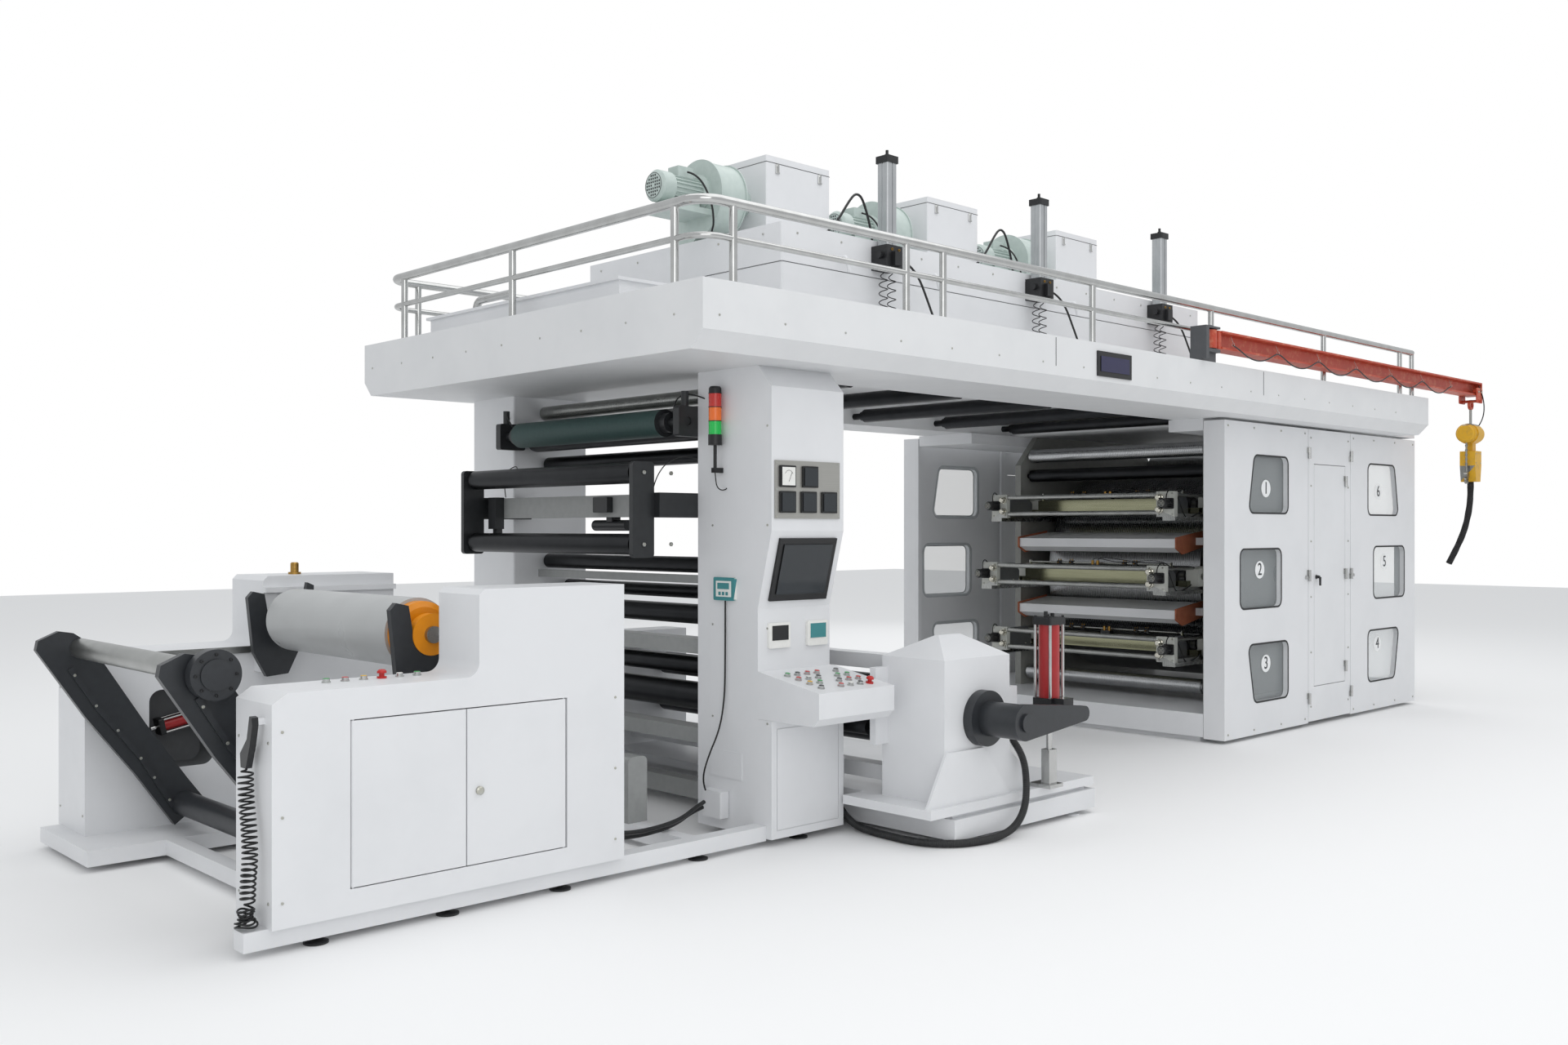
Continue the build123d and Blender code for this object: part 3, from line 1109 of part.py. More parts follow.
def roll():
    """Material roll on its shaft, with the disc at the near end and a bearing drum in each fork."""
    y0, y1 = ROLL_ENDS
    paper = rod_y(ROLL_X, ROLL_Z, ROLL_RADIUS, y0, y1) - rod_y(ROLL_X, ROLL_Z, ROLL_SHAFT + SEAT, y0 - 1, y1 + 1)
    save("material_roll", paper)
    near = FORKS_Y[0]
    far = FORKS_Y[1]
    drum_end = FORK_THICK + 5
    profile = [(near - 25, 0), (near - 25, ROLL_SHAFT), (near - 5, ROLL_SHAFT), (near - 5, SEAT_RADIUS),
               (near + drum_end, SEAT_RADIUS), (near + drum_end, ROLL_SHAFT), (y0 - 62, ROLL_SHAFT),
               (y0 - 62, 120), (y0 - 50, 146), (y0 - SEAT, 146), (y0 - SEAT, ROLL_SHAFT), (far - 5, ROLL_SHAFT),
               (far - 5, SEAT_RADIUS), (far + drum_end, SEAT_RADIUS), (far + drum_end, ROLL_SHAFT),
               (far + drum_end + 20, ROLL_SHAFT), (far + drum_end + 20, 0)]
    save("roll_shaft", turned_y(profile, ROLL_X, 0, ROLL_Z))


# Rewinder

def round_plate(start, start_radius, end, end_radius, y0, y1):
    """Plate with two round ends in X and Z, between two depths."""
    corners = round_ended(start, start_radius, end, end_radius)
    length = math.hypot(end[0] - start[0], end[1] - start[1])
    along = ((end[0] - start[0]) / length, (end[1] - start[1]) / length)
    tip = (end[0] + end_radius * along[0], end[1] + end_radius * along[1])
    tail = (start[0] - start_radius * along[0], start[1] - start_radius * along[1])
    face = make_face([Line(corners[0], corners[1]), ThreePointArc(corners[1], tip, corners[2]),
                      Line(corners[2], corners[3]), ThreePointArc(corners[3], tail, corners[0])])
    return Pos(0, y0, 0) * extrude(Plane.XZ * face, amount=y1 - y0, dir=(0, 1, 0))


def rewinder_base():
    """Base frame, dark slide and top plate with its notch for the cable, on four pads."""
    base = box(REWIND_LEFT, REWIND_RIGHT, REWIND_FRONT, REWIND_BACK, SILL_LOW, 136)
    slide = box(REWIND_LEFT + 30, REWIND_RIGHT - 44, REWIND_FRONT + 40, REWIND_BACK - 50, 136, 158)
    left = TOWER_RIGHT + 30 + SEAT
    wide = REWIND_LEFT - 175
    notch = REWIND_LEFT - 20
    corners = [(wide, REWIND_FRONT + 10), (REWIND_RIGHT, REWIND_FRONT + 10), (REWIND_RIGHT, REWIND_BACK),
               (left, REWIND_BACK), (left, -1150), (notch, -1150), (notch, TOWER_NEAR - 20), (wide, TOWER_NEAR - 20)]
    plate = level_plate(corners, 158, PLATE_TOP)
    pads = []
    for x in (REWIND_LEFT + 80, REWIND_RIGHT - 144):
        for y in (REWIND_FRONT + 60, REWIND_BACK - 70):
            pads.append(turned_z([(0, 0), (0, 46), (8, 46), (12, 14), (SILL_LOW, 14), (SILL_LOW, 0)], x, y, 0))
    save("rewinder_base", join(base, slide, plate), *pads)


def rewinder_stand():
    """Pedestal with hipped hood and gussets, far wall, beams, roller brackets, knife block and ring flange."""
    left, right = PEDESTAL
    front = REWIND_FRONT + 50
    back = front + PEDESTAL_DEPTH
    pedestal = box(left, right, front, back, PLATE_TOP, PEDESTAL_TOP)
    low = Plane.XY.offset(PEDESTAL_TOP) * outline([(left, front), (right, front), (right, back), (left, back)])
    ridge = [(-5560, front + 190), (-5380, front + 190), (-5380, front + 210), (-5560, front + 210)]
    hood = loft([low, Plane.XY.offset(PEDESTAL_TOP + 109) * outline(ridge)])
    skirt = side_plate([(-5895, PLATE_TOP), (-5217, PLATE_TOP), (-5440, 470), (left, 470)], front - 16, front)
    gusset = side_plate([(right, PLATE_TOP), (right + 162, PLATE_TOP), (right + 162, 300), (right, 430)],
                        front, front + 40)
    rear = side_plate([(right, PLATE_TOP), (right + 162, PLATE_TOP), (right + 162, 300), (right, 430)],
                      back - 40, back)
    far_wall = box(left, right, 640, 860, PLATE_TOP, PEDESTAL_TOP)
    beams = [box(-5660, -5560, back, 640, 850, 930), box(-5660, -5560, back, 640, 260, 340)]
    ring = rod_y(-5300, 740, 150, back, back + 20) - rod_y(*RETURN_ROLLERS[0], 26, back - 1, back + 21)
    box_side = box(right, right + 92, front + 20, front + 110, CABLE_START, CABLE_START + 120)
    brackets = []
    for y0, y1 in ((back - 40, back), (640, 680)):
        plate = box(left - 96, left, y0, y1, 480, 880)
        brackets.append(plate)
    knife = box(-5640, -5580, -700, -560, 930, 985) + rod_z(-5610, -630, 14, 985, 1030)
    whole = join(pedestal, hood, skirt, gusset, rear, far_wall, *beams, ring, box_side, *brackets, knife)
    for x, z in SIDE_ROLLERS:
        whole = whole - rod_y(x, z, SIDE_NECK + SEAT, back - 25, 665)
    for x, z in RETURN_ROLLERS:
        whole = whole - rod_y(x, z, RETURN_NECK + SEAT, back - 25, 665)
    save("rewinder_stand", whole)


def rewinder_rollers():
    """Two return rollers behind the pedestal and two black ones on its left brackets."""
    back = REWIND_FRONT + 50 + PEDESTAL_DEPTH
    rollers = []
    for places, radius, neck in ((RETURN_ROLLERS, 70, RETURN_NECK), (SIDE_ROLLERS, 42, SIDE_NECK)):
        for x, z in places:
            body = rod_y(x, z, radius, back + 40, 600)
            rollers.append(body + rod_y(x, z, neck, back - 24, 664))
    save("rewinder_rollers", *rollers)


def rewinder_head():
    """Bolted flange, sleeve and tapered lever with round ends, and the pin at its end."""
    front = REWIND_FRONT + 50
    inner = LEVER_FACE + LEVER_THICK
    flange = rod_y(REWIND_X, REWIND_AXIS_Z, 144, front - 56, front - SEAT)
    sleeve = rod_y(REWIND_X, REWIND_AXIS_Z, 90, inner, front - 56)
    lever = round_plate((REWIND_X, REWIND_AXIS_Z), 92, (REWIND_PIN_X, REWIND_AXIS_Z), 40, LEVER_FACE, inner)
    cap = rod_y(REWIND_X, REWIND_AXIS_Z, 46, LEVER_FACE - 14, LEVER_FACE)
    pin = rod_y(REWIND_PIN_X, REWIND_AXIS_Z, PIN_RADIUS, inner, -2195)
    save("rewinder_lever", join(flange, sleeve, lever, cap, pin))


def rewinder_cylinder():
    """Cylinder with square caps and four tie rods, its eye for the lever's pin, and its rod with the clevis."""
    x = REWIND_PIN_X
    y = REWIND_FRONT - 10
    low = REWIND_AXIS_Z + 66
    high = low + 394
    tube = rod_z(x, y, 56, low, high)
    caps = [round_edges(box(x - 70, x + 70, y - 60, y + 60, z, z + 40), Axis.Z, 8) for z in (low - 40, high)]
    ties = [rod_z(x + dx, y + dy, 8, low - 48, high + 50) for dx in (-58, 58) for dy in (-48, 48)]
    eye = box(x - 45, x + 45, y - 125, y - 105, REWIND_AXIS_Z - 45, REWIND_AXIS_Z + 70)
    eye = eye - rod_y(x, REWIND_AXIS_Z, EYE_BORE, y - 130, y - 100)
    neck = box(x - 45, x + 45, y - 106, y - 60, REWIND_AXIS_Z + 40, REWIND_AXIS_Z + 70)
    fittings = [rod_z(x - 30, y, 11, high + 40, high + 72), rod_z(x + 30, y, 11, high + 40, high + 60)]
    bore = rod_z(x, y, ROD_RADIUS + SEAT, low - 50, low + 310)
    save("rewinder_cylinder", join(tube, *caps, *ties, eye, neck, *fittings) - bore)
    foot = box(x - 60, x + 60, y - 50, y + 90, PLATE_TOP + SEAT, PLATE_TOP + 20)
    clevis = round_edges(box(x - 35, x + 35, y - 30, y + 30, PLATE_TOP + 10, 410), Axis.Z, 8)
    save("rewinder_rod", join(foot, clevis, rod_z(x, y, ROD_RADIUS, 400, 880)))


# Cords

def cord(points, radius):
    """Round cord of straight runs and tangent arcs, each arc as large as its shorter run allows."""
    runs = [Vector(*b) - Vector(*a) for a, b in zip(points, points[1:])]
    ways = [run.normalized() for run in runs]
    edges = []
    start = Vector(*points[0])
    smallest = None
    for i in range(1, len(points) - 1):
        corner = Vector(*points[i])
        half = math.acos(max(-1.0, min(1.0, ways[i - 1].dot(ways[i])))) / 2
        bend = 0.45 * min(runs[i - 1].length, runs[i].length) / math.tan(half)
        cut = bend * math.tan(half)
        enter = corner - ways[i - 1] * cut
        leave = corner + ways[i] * cut
        centre_way = (ways[i] - ways[i - 1]).normalized()
        middle = corner + centre_way * (bend / math.cos(half) - bend)
        edges.append(Line(start, enter))
        edges.append(ThreePointArc(enter, middle, leave))
        start = leave
        if smallest is None or bend < smallest:
            smallest = bend
    edges.append(Line(start, Vector(*points[-1])))
    path = Wire([edge.edge() for edge in edges])
    solid = sweep(Plane(origin=points[0], z_dir=ways[0]) * Circle(radius), path=path)
    share = solid.volume / (math.pi * radius ** 2 * path.length)
    if smallest is None:
        smallest = 0.0
    print(f"cord of {path.length:.0f} mm, smallest radius {smallest:.0f} mm, volume share {share:.3f}")
    return solid


def cords():
    """Thick cable, curly air hose with its heap and blow gun, curly cylinder lines and the hoist's sleeve."""
    save("rewinder_cable", cord(REWIND_CABLE, CABLE_RADIUS))
    heap = rod_z(*HOSE_HEAP, 52, UNWIND_FOOT + SEAT, HOSE_LINE[-1][2] - SEAT)
    save("curly_hose", cord(HOSE_LINE, 32), heap)
    gun = end_plate([(-1402, 868), (-1398, 896), (-1376, 900), (-1352, 812), (-1290, 752), (-1296, 700), (-1342, 700),
                     (-1380, 790)], -8990, UNWIND_LEFT - 25 - SEAT)
    save("blow_gun", gun)
    lines = []
    for x in LIFTS_X:
        for dx in (-36, 36):
            foot = (x + dx, LIFT_Y - 4, DECK_TOP + SEAT)
            head = (x + dx, LIFT_Y - 4, DRYER_TOP - 180 - SEAT)
            lines.append(cord([head, foot], COIL_RADIUS))
    save("cylinder_coils", *lines)
    save("hoist_sleeve", cord(SLEEVE_LINE, 29))


# Jib hoist

def jib():
    """Swing jib: bracket on the bridge's edge and the I beam with its hub."""
    top = JIB_LOW + JIB_HEIGHT
    foot = box(JIB_X - 130, JIB_X + 70, JIB_Y - 20, JIB_Y + 65, DECK_TOP, JIB_LOW - 8)
    back = box(JIB_X - 130, JIB_X - 90, JIB_Y - 60, JIB_Y + 60, DECK_TOP + 12, top + 22)
    shelf = box(JIB_X - 130, JIB_X + 60, JIB_Y - 60, JIB_Y + 60, JIB_LOW - 30, JIB_LOW - 8)
    lid = box(JIB_X - 130, JIB_X + 60, JIB_Y - 60, JIB_Y + 60, top + 8, top + 22)
    pin = rod_z(JIB_X, JIB_Y, 20, JIB_LOW - 8, top + 10)
    cap = rod_z(JIB_X, JIB_Y, 30, top + 22, top + 34)
    save("jib_bracket", join(foot, back, shelf, lid, pin, cap))
    half = JIB_WIDTH / 2
    start = JIB_X + 80
    section = [(-half, 0), (half, 0), (half, JIB_FLANGE), (5, JIB_FLANGE + 4), (5, JIB_HEIGHT - JIB_FLANGE - 4),
               (half, JIB_HEIGHT - JIB_FLANGE), (half, JIB_HEIGHT), (-half, JIB_HEIGHT),
               (-half, JIB_HEIGHT - JIB_FLANGE), (-5, JIB_HEIGHT - JIB_FLANGE - 4), (-5, JIB_FLANGE + 4),
               (-half, JIB_FLANGE)]
    beam = end_plate([(JIB_Y + y, JIB_LOW + z) for y, z in section], start, JIB_TIP)
    stop = box(JIB_TIP - 14, JIB_TIP, JIB_Y - half, JIB_Y + half, JIB_LOW + 1, top - 1)
    hub = rod_z(JIB_X, JIB_Y, 60, JIB_LOW, top) - rod_z(JIB_X, JIB_Y, 20 + SEAT, JIB_LOW - 1, top + 1)
    link = box(JIB_X + 40, start + 1, JIB_Y - 55, JIB_Y + 55, JIB_LOW, top)
    link = link - rod_z(JIB_X, JIB_Y, 30, JIB_LOW - 1, top + 1)
    save("jib_beam", join(beam, stop, link, hub))


def chain_hoist():
    """Trolley with two cheeks, top hook, hoist body, chain container, chain and lower hook."""
    x = HOIST_X
    half = JIB_WIDTH / 2
    pieces = []
    for side in (-1, 1):
        cheek = box(x - 70, x + 70, JIB_Y + side * (half + 6), JIB_Y + side * (half + 16), JIB_LOW - 70, JIB_LOW + 70)
        pieces.append(round_edges(cheek, Axis.Y, 18))
        for dx in (-35, 35):
            pieces.append(rod_y(x + dx, JIB_LOW + JIB_FLANGE + 22, 20, JIB_Y + side * (half + 7),
                                JIB_Y + side * (half - 25)))
    pieces.append(rod_y(x, JIB_LOW - 50, 13, JIB_Y - half - 34, JIB_Y + half + 34))
    eye = rod_y(x, JIB_LOW - 82, 46, JIB_Y - 12, JIB_Y + 12) - rod_y(x, JIB_LOW - 86, 22, JIB_Y - 13, JIB_Y + 13)
    shank = rod_z(x, JIB_Y, 12, 2570, JIB_LOW - 120)
    motor = turned_x([(-140, 0), (-140, 70), (-128, 84), (-66, 84), (-66, 95), (60, 95), (60, 82), (118, 82),
                      (132, 60), (132, 0)], x, JIB_Y, 2487)
    chain_x = x - 104
    neck = box(x - 40, x + 40, JIB_Y - 32, JIB_Y + 32, 2310, 2420)
    box_points = [(x - 78, 2325), (x + 78, 2325), (x + 78, 2190), (x + 54, 2040), (x - 54, 2040), (x - 78, 2190)]
    container = round_edges(side_plate(box_points, JIB_Y - 68, JIB_Y + 68), Axis.Y, 8)
    drop = rod_z(chain_x, JIB_Y, 7, 2120, 2440)
    block = rod_y(chain_x, 2100, 28, JIB_Y - 16, JIB_Y + 16)
    lower = rod_y(chain_x, 2050, 30, JIB_Y - 9, JIB_Y + 9) - rod_y(chain_x, 2050, 16, JIB_Y - 10, JIB_Y + 10)
    save("chain_hoist", join(*pieces, eye, shank, motor, neck, container, drop, block, lower))


def build_all():
    os.makedirs("parts", exist_ok=True)
    housing_frame()
    side_walls()
    side_frames()
    drum()
    print_decks()
    inter_dryers()
    web_rollers()
    platform()
    handrail()
    platform_boxes()
    blowers()
    lift_cylinders()
    control_column()
    control_screens()
    push_buttons()
    stack_light()
    tower_frames()
    tower_inside()
    web_guide()
    unwinder_cabinets()
    arm_cylinder()
    sills()
    forks()
    loading_arms()
    roll()
    rewinder_base()
    rewinder_stand()
    rewinder_rollers()
    rewinder_head()
    rewinder_cylinder()
    cords()
    jib()
    chain_hoist()


build_all()
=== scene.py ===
import math

import bmesh
import bpy
from mathutils import Matrix, Vector


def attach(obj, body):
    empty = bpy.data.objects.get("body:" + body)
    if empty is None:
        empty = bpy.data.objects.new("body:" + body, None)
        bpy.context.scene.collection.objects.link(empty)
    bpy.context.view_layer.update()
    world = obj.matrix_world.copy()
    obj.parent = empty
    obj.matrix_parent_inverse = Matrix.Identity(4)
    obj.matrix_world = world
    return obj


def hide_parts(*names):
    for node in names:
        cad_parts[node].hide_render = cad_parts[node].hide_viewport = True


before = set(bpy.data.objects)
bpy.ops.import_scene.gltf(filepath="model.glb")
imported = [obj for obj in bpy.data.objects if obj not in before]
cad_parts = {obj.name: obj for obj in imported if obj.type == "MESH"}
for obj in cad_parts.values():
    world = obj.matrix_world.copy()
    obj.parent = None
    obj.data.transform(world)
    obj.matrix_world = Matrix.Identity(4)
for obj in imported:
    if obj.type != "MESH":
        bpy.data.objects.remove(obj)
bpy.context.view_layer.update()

# Camera
# A person's eye height, level, looking along the press from its unwinder end on the operator's side.
# The lens and the turn come from the photograph's two vanishing points.
EYE = (-11.07, -6.43, 1.60)
VIEW_TURN = math.radians(46.2)
SENSOR = 36.0
PICTURE_WIDE = 1920
FOCAL_PIXELS = 1668.5
HORIZON_DROP = 8
camera_data = bpy.data.cameras.new("camera")
camera_data.sensor_width = SENSOR
camera_data.lens = SENSOR * FOCAL_PIXELS / PICTURE_WIDE
camera_data.shift_y = HORIZON_DROP / PICTURE_WIDE
camera = bpy.data.objects.new("camera", camera_data)
bpy.context.collection.objects.link(camera)
camera.location = EYE
camera.rotation_euler = (math.radians(90), 0, VIEW_TURN - math.radians(90))
bpy.context.scene.camera = camera


# Rewinder cable
# Thick black cable in a corrugated polyamide conduit, from the pedestal's terminal box down to the floor,
# round the base's left end and up into the control cabinet. The conduit is extruded in rings.
WAVE_TURN = 6.2832


def linear(hex_value):
    """An sRGB hex colour as the linear colour that a shader takes."""
    channels = []
    for shift in (16, 8, 0):
        share = ((hex_value >> shift) & 255) / 255
        channels.append(share / 12.92 if share <= 0.04045 else ((share + 0.055) / 1.055) ** 2.4)
    return (*channels, 1.0)


def add(tree, kind, links=None, **settings):
    """Adds a node with its settings, and links its inputs from other nodes' outputs."""
    node = tree.nodes.new(kind)
    for key, value in settings.items():
        if hasattr(node, key):
            setattr(node, key, value)
        else:
            node.inputs[key.replace("_", " ")].default_value = value
    for name, source in (links or {}).items():
        tree.links.new(source, node.inputs[name])
    return node


def millimetres(size):
    """Scale of a pattern whose repeat is that many millimetres."""
    return 1000.0 / size


def surface(name, colour, second=None, cloud=None, rough=0.5, gloss=None, relief=None, bands=None, peel=None,
            fade=None, drawn=None, darker=None, noise=None, **values):
    """A procedural finish, with patterns in millimetres of the object's own coordinates.

    A cloud (size, detail) of noise mixes two colours and varies the roughness between the two gloss values. The
    relief (strength, distance) follows the bands (direction, pitch, distortion, detail) or the peel's noise
    where there is one. Fade (from, to, most) sharpens the cloud, and drawn stretches it.
    """
    material = bpy.data.materials.new(name)
    material.use_nodes = True
    tree = material.node_tree
    shader = tree.nodes["Principled BSDF"]
    place = add(tree, "ShaderNodeTexCoord").outputs["Object"]
    if drawn:
        place = add(tree, "ShaderNodeMapping", {"Vector": place}, Scale=drawn).outputs["Vector"]
    clouds = fine = None
    if cloud:
        fine = clouds = add(tree, "ShaderNodeTexNoise", {"Vector": place}, Scale=millimetres(cloud[0]),
                            Detail=cloud[1], **(noise or {})).outputs["Fac"]
    if bands:
        direction, pitch, distortion, detail = bands
        fine = add(tree, "ShaderNodeTexWave", {"Vector": place}, wave_type="BANDS", bands_direction=direction,
                   Scale=millimetres(pitch) / WAVE_TURN, Distortion=distortion, Detail=detail).outputs["Fac"]
    if gloss:
        share = add(tree, "ShaderNodeMapRange", {"Value": fine}, To_Min=gloss[0], To_Max=gloss[1])
        tree.links.new(share.outputs["Result"], shader.inputs["Roughness"])
    else:
        shader.inputs["Roughness"].default_value = rough
    if peel:
        fine = add(tree, "ShaderNodeTexNoise", {"Vector": place}, Scale=millimetres(peel[0]),
                   Detail=peel[1]).outputs["Fac"]
    if relief:
        bump = add(tree, "ShaderNodeBump", {"Height": fine}, Strength=relief[0], Distance=relief[1])
        tree.links.new(bump.outputs["Normal"], shader.inputs["Normal"])
    if fade:
        clouds = add(tree, "ShaderNodeMapRange", {"Value": clouds}, From_Min=fade[0], From_Max=fade[1],
                     To_Max=fade[2]).outputs["Result"]
    shader.inputs["Base Color"].default_value = linear(colour)
    if darker or second is not None:
        other = (*[channel * darker for channel in linear(colour)[:3]], 1.0) if darker else linear(second)
        tone = add(tree, "ShaderNodeMixRGB", {"Fac": clouds}, Color1=linear(colour), Color2=other)
        tree.links.new(tone.outputs["Color"], shader.inputs["Base Color"])
    for key, value in values.items():
        shader.inputs[key.replace("_", " ")].default_value = value
    return material


def smooth_curve(name, points, steps):
    """Curve data for one smooth curve with these control points."""
    data = bpy.data.curves.new(name, "CURVE")
    data.dimensions = "3D"
    data.resolution_u = steps
    spline = data.splines.new("NURBS")
    spline.points.add(len(points) - 1)
    for control, point in zip(spline.points, points):
        control.co = (*point, 1.0)
    spline.order_u = 3
    spline.use_endpoint_u = True
    return data


def route_points(points, steps=12):
    """Points along the smooth curve that has the route's points as its control points."""
    data = smooth_curve("route", points, steps)
    holder = bpy.data.objects.new("route", data)
    mesh = bpy.data.meshes.new_from_object(holder)
    line = [vertex.co.copy() for vertex in mesh.vertices]
    bpy.data.meshes.remove(mesh)
    bpy.data.objects.remove(holder)
    bpy.data.curves.remove(data)
    return line


def line_length(line):
    return sum((b - a).length for a, b in zip(line, line[1:]))


def evenly(line, count):
    """The same line again with evenly spaced points."""
    whole = line_length(line)
    result = [line[0].copy()]
    run = 0.0
    target = whole / (count - 1)
    for a, b in zip(line, line[1:]):
        step = (b - a).length
        while run + step >= target * len(result) - 1e-9 and len(result) < count - 1:
            result.append(a.lerp(b, (target * len(result) - run) / step))
        run += step
    result.append(line[-1].copy())
    return result


def carried_frames(line, first_side=Vector((0, 0, 1))):
    """A side vector and its partner at every point, carried along the line without twist."""
    frames = []
    side = first_side
    for i, point in enumerate(line):
        ahead = (line[min(i + 1, len(line) - 1)] - line[max(i - 1, 0)]).normalized()
        side = side - ahead * side.dot(ahead)
        if side.length < 1e-6:
            side = Vector((1, 0, 0)) - ahead * ahead.x
        side = side.normalized()
        frames.append((point, side, ahead.cross(side)))
    return frames


def circle(count):
    """So many even angles round a full turn."""
    return [2 * math.pi * k / count for k in range(count)]


def link_piece(name, data, body, *materials):
    """A new object from a mesh or a curve, with its materials, riding on a body."""
    piece = bpy.data.objects.new(name, data)
    bpy.context.collection.objects.link(piece)
    for material in materials:
        piece.data.materials.append(material)
    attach(piece, body)
    return piece


def skin(build, rings, smooth=False, ends=True):
    """Faces between neighbouring rings of points, and over the two ends."""
    for low, high in zip(rings, rings[1:]):
        for k in range(len(low)):
            after = (k + 1) % len(low)
            build.faces.new((low[k], low[after], high[after], high[k])).smooth = smooth
    if ends:
        build.faces.new(list(reversed(rings[0])))
        build.faces.new(rings[-1])


def built_piece(name, build, body, *materials):
    """Closes a mesh under construction and makes it a piece on a body."""
    bmesh.ops.recalc_face_normals(build, faces=build.faces)
    mesh = bpy.data.meshes.new(name)
    build.to_mesh(mesh)
    build.free()
    return link_piece(name, mesh, body, *materials)


def swept_piece(name, line, sizes, body, material, around=14):
    """A closed tube along a line, with its own radius at every point."""
    build = bmesh.new()
    rings = []
    for (point, side, partner), size in zip(carried_frames(line), sizes):
        rings.append([build.verts.new(point + (side * math.cos(turn) + partner * math.sin(turn)) * size)
                      for turn in circle(around)])
    skin(build, rings, smooth=True)
    return built_piece(name, build, body, material)


# The route's points are those of the CAD solid, in metres.
REWIND_CABLE = [
    (-5.150, -1.985, 0.6397), (-5.150, -1.985, 0.510), (-5.140, -2.085, 0.395), (-5.155, -2.118, 0.255),
    (-5.200, -2.140, 0.133), (-5.290, -2.150, 0.055), (-5.420, -2.155, 0.024), (-5.560, -2.150, 0.021),
    (-5.690, -2.115, 0.0215), (-5.790, -2.030, 0.021), (-5.835, -1.900, 0.0215), (-5.830, -1.760, 0.021),
    (-5.820, -1.620, 0.022), (-5.815, -1.500, 0.030), (-5.812, -1.400, 0.085), (-5.810, -1.335, 0.170),
    (-5.810, -1.335, 0.270),
]
CABLE_RADIUS = 0.020
RING_PITCH = 0.010
RING_DEPTH = 0.0028
cable_line = route_points(REWIND_CABLE)
cable_length = line_length(cable_line)
ring_points = evenly(cable_line, int(cable_length / RING_PITCH) * 4 + 1)
ring_sizes = [CABLE_RADIUS - (RING_DEPTH if i % 4 in (2, 3) else 0.0) for i in range(len(ring_points))]
# Black polyamide: moulded rings, a dull sheen, dust in the grooves.
polyamide = surface("black_polyamide_conduit", 0x141516, 0x2E2F30, (60, 4.0), IOR=1.53)
rewinder_conduit = swept_piece("rewinder_conduit", ring_points, ring_sizes, "press", polyamide)
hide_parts("rewinder_cable")


# Curly air hose
# Black polyurethane spiral hose of the blow gun: from the fitting on the unwinder's end into a loose heap on
# the floor rail, then up as a hanging spiral to the gun on its hook. The tube is half gloss, a little worn.
hose_black = surface("black_polyurethane_hose", 0x131415, cloud=(18, 3.0), gloss=(0.28, 0.45), IOR=1.5)


def cord_curve(name, points, diameter, body="press", material=hose_black):
    """A round cord as one smooth curve through its control points."""
    data = smooth_curve(name, points, 6)
    data.bevel_depth = diameter / 2
    data.bevel_resolution = 3
    data.use_fill_caps = True
    return link_piece(name, data, body, material)


def helix_along(line, radius, turns, per_turn=12):
    """Points of a helix of so many turns round a line; it grows out of the line's ends."""
    count = int(turns * per_turn) + 1
    points = []
    for i, (point, side, partner) in enumerate(carried_frames(evenly(line, count), Vector((1, 0, 0)))):
        turn = 2 * math.pi * i / per_turn
        grow = min(1.0, i / per_turn, (count - 1 - i) / per_turn)
        points.append(point + (side * math.cos(turn) + partner * math.sin(turn)) * radius * grow)
    return points


HOSE_LINE = [
    (-8.980, -1.319, 0.699), (-8.980, -1.319, 0.595), (-8.983, -1.358, 0.480), (-8.991, -1.388, 0.365),
    (-8.996, -1.376, 0.275), (-8.996, -1.376, 0.190),
]
HOSE_DIAMETER = 0.008
HOSE_COIL = 0.027
HOSE_TURNS = 24
HEAP_MIDDLE = (-9.000, -1.370)
HEAP_LOW = 0.114
HEAP_LOOPS = 6
HOSE_FITTING = (-8.985, -1.316, 0.140)
heap_points = [Vector(HOSE_FITTING), Vector((-8.984, -1.326, 0.139))]
for i in range(HEAP_LOOPS * 12):
    share = i / (HEAP_LOOPS * 12)
    turn = math.radians(60) + 2 * math.pi * i / 12
    wide = 0.030 + 0.014 * math.sin(7.3 * share + 0.5) * (1 - share)
    level = HEAP_LOW + 0.070 * share + 0.005 * math.sin(turn * 2 + 5 * share)
    heap_points.append(Vector((HEAP_MIDDLE[0] + wide * math.cos(turn), HEAP_MIDDLE[1] + wide * math.sin(turn),
                               level)))
spiral_line = list(reversed(route_points(HOSE_LINE)))
hose_points = heap_points + helix_along(spiral_line, HOSE_COIL, HOSE_TURNS)[6:]
hose_length = line_length(route_points(hose_points, 6))
curly_air_hose = cord_curve("curly_air_hose", hose_points, HOSE_DIAMETER)
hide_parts("curly_hose")


# Cylinder lines
# Two spiral polyurethane air lines from each cylinder's valve block down to the bridge: the same wound tube as
# the curly hose, thinner, stretched over the gap.
LIFTS_X = (-5.080, -3.570, -2.060)
LINE_SIDE = 0.036
LINE_Y = -1.064
LINE_HIGH = 3.1197
LINE_LOW = 2.7503
LINE_DIAMETER = 0.006
LINE_COIL = 0.026
LINE_TURNS = 7
for lift, lift_x in enumerate(LIFTS_X):
    for hand, offset in enumerate((-LINE_SIDE, LINE_SIDE)):
        straight = [Vector((lift_x + offset, LINE_Y, LINE_HIGH)), Vector((lift_x + offset, LINE_Y, LINE_LOW))]
        points = helix_along(straight, LINE_COIL, LINE_TURNS)
        length = line_length(route_points(points, 6))
        line = cord_curve(f"cylinder_line_{lift + 1}_{hand + 1}", points, LINE_DIAMETER)
        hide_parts("cylinder_coils")


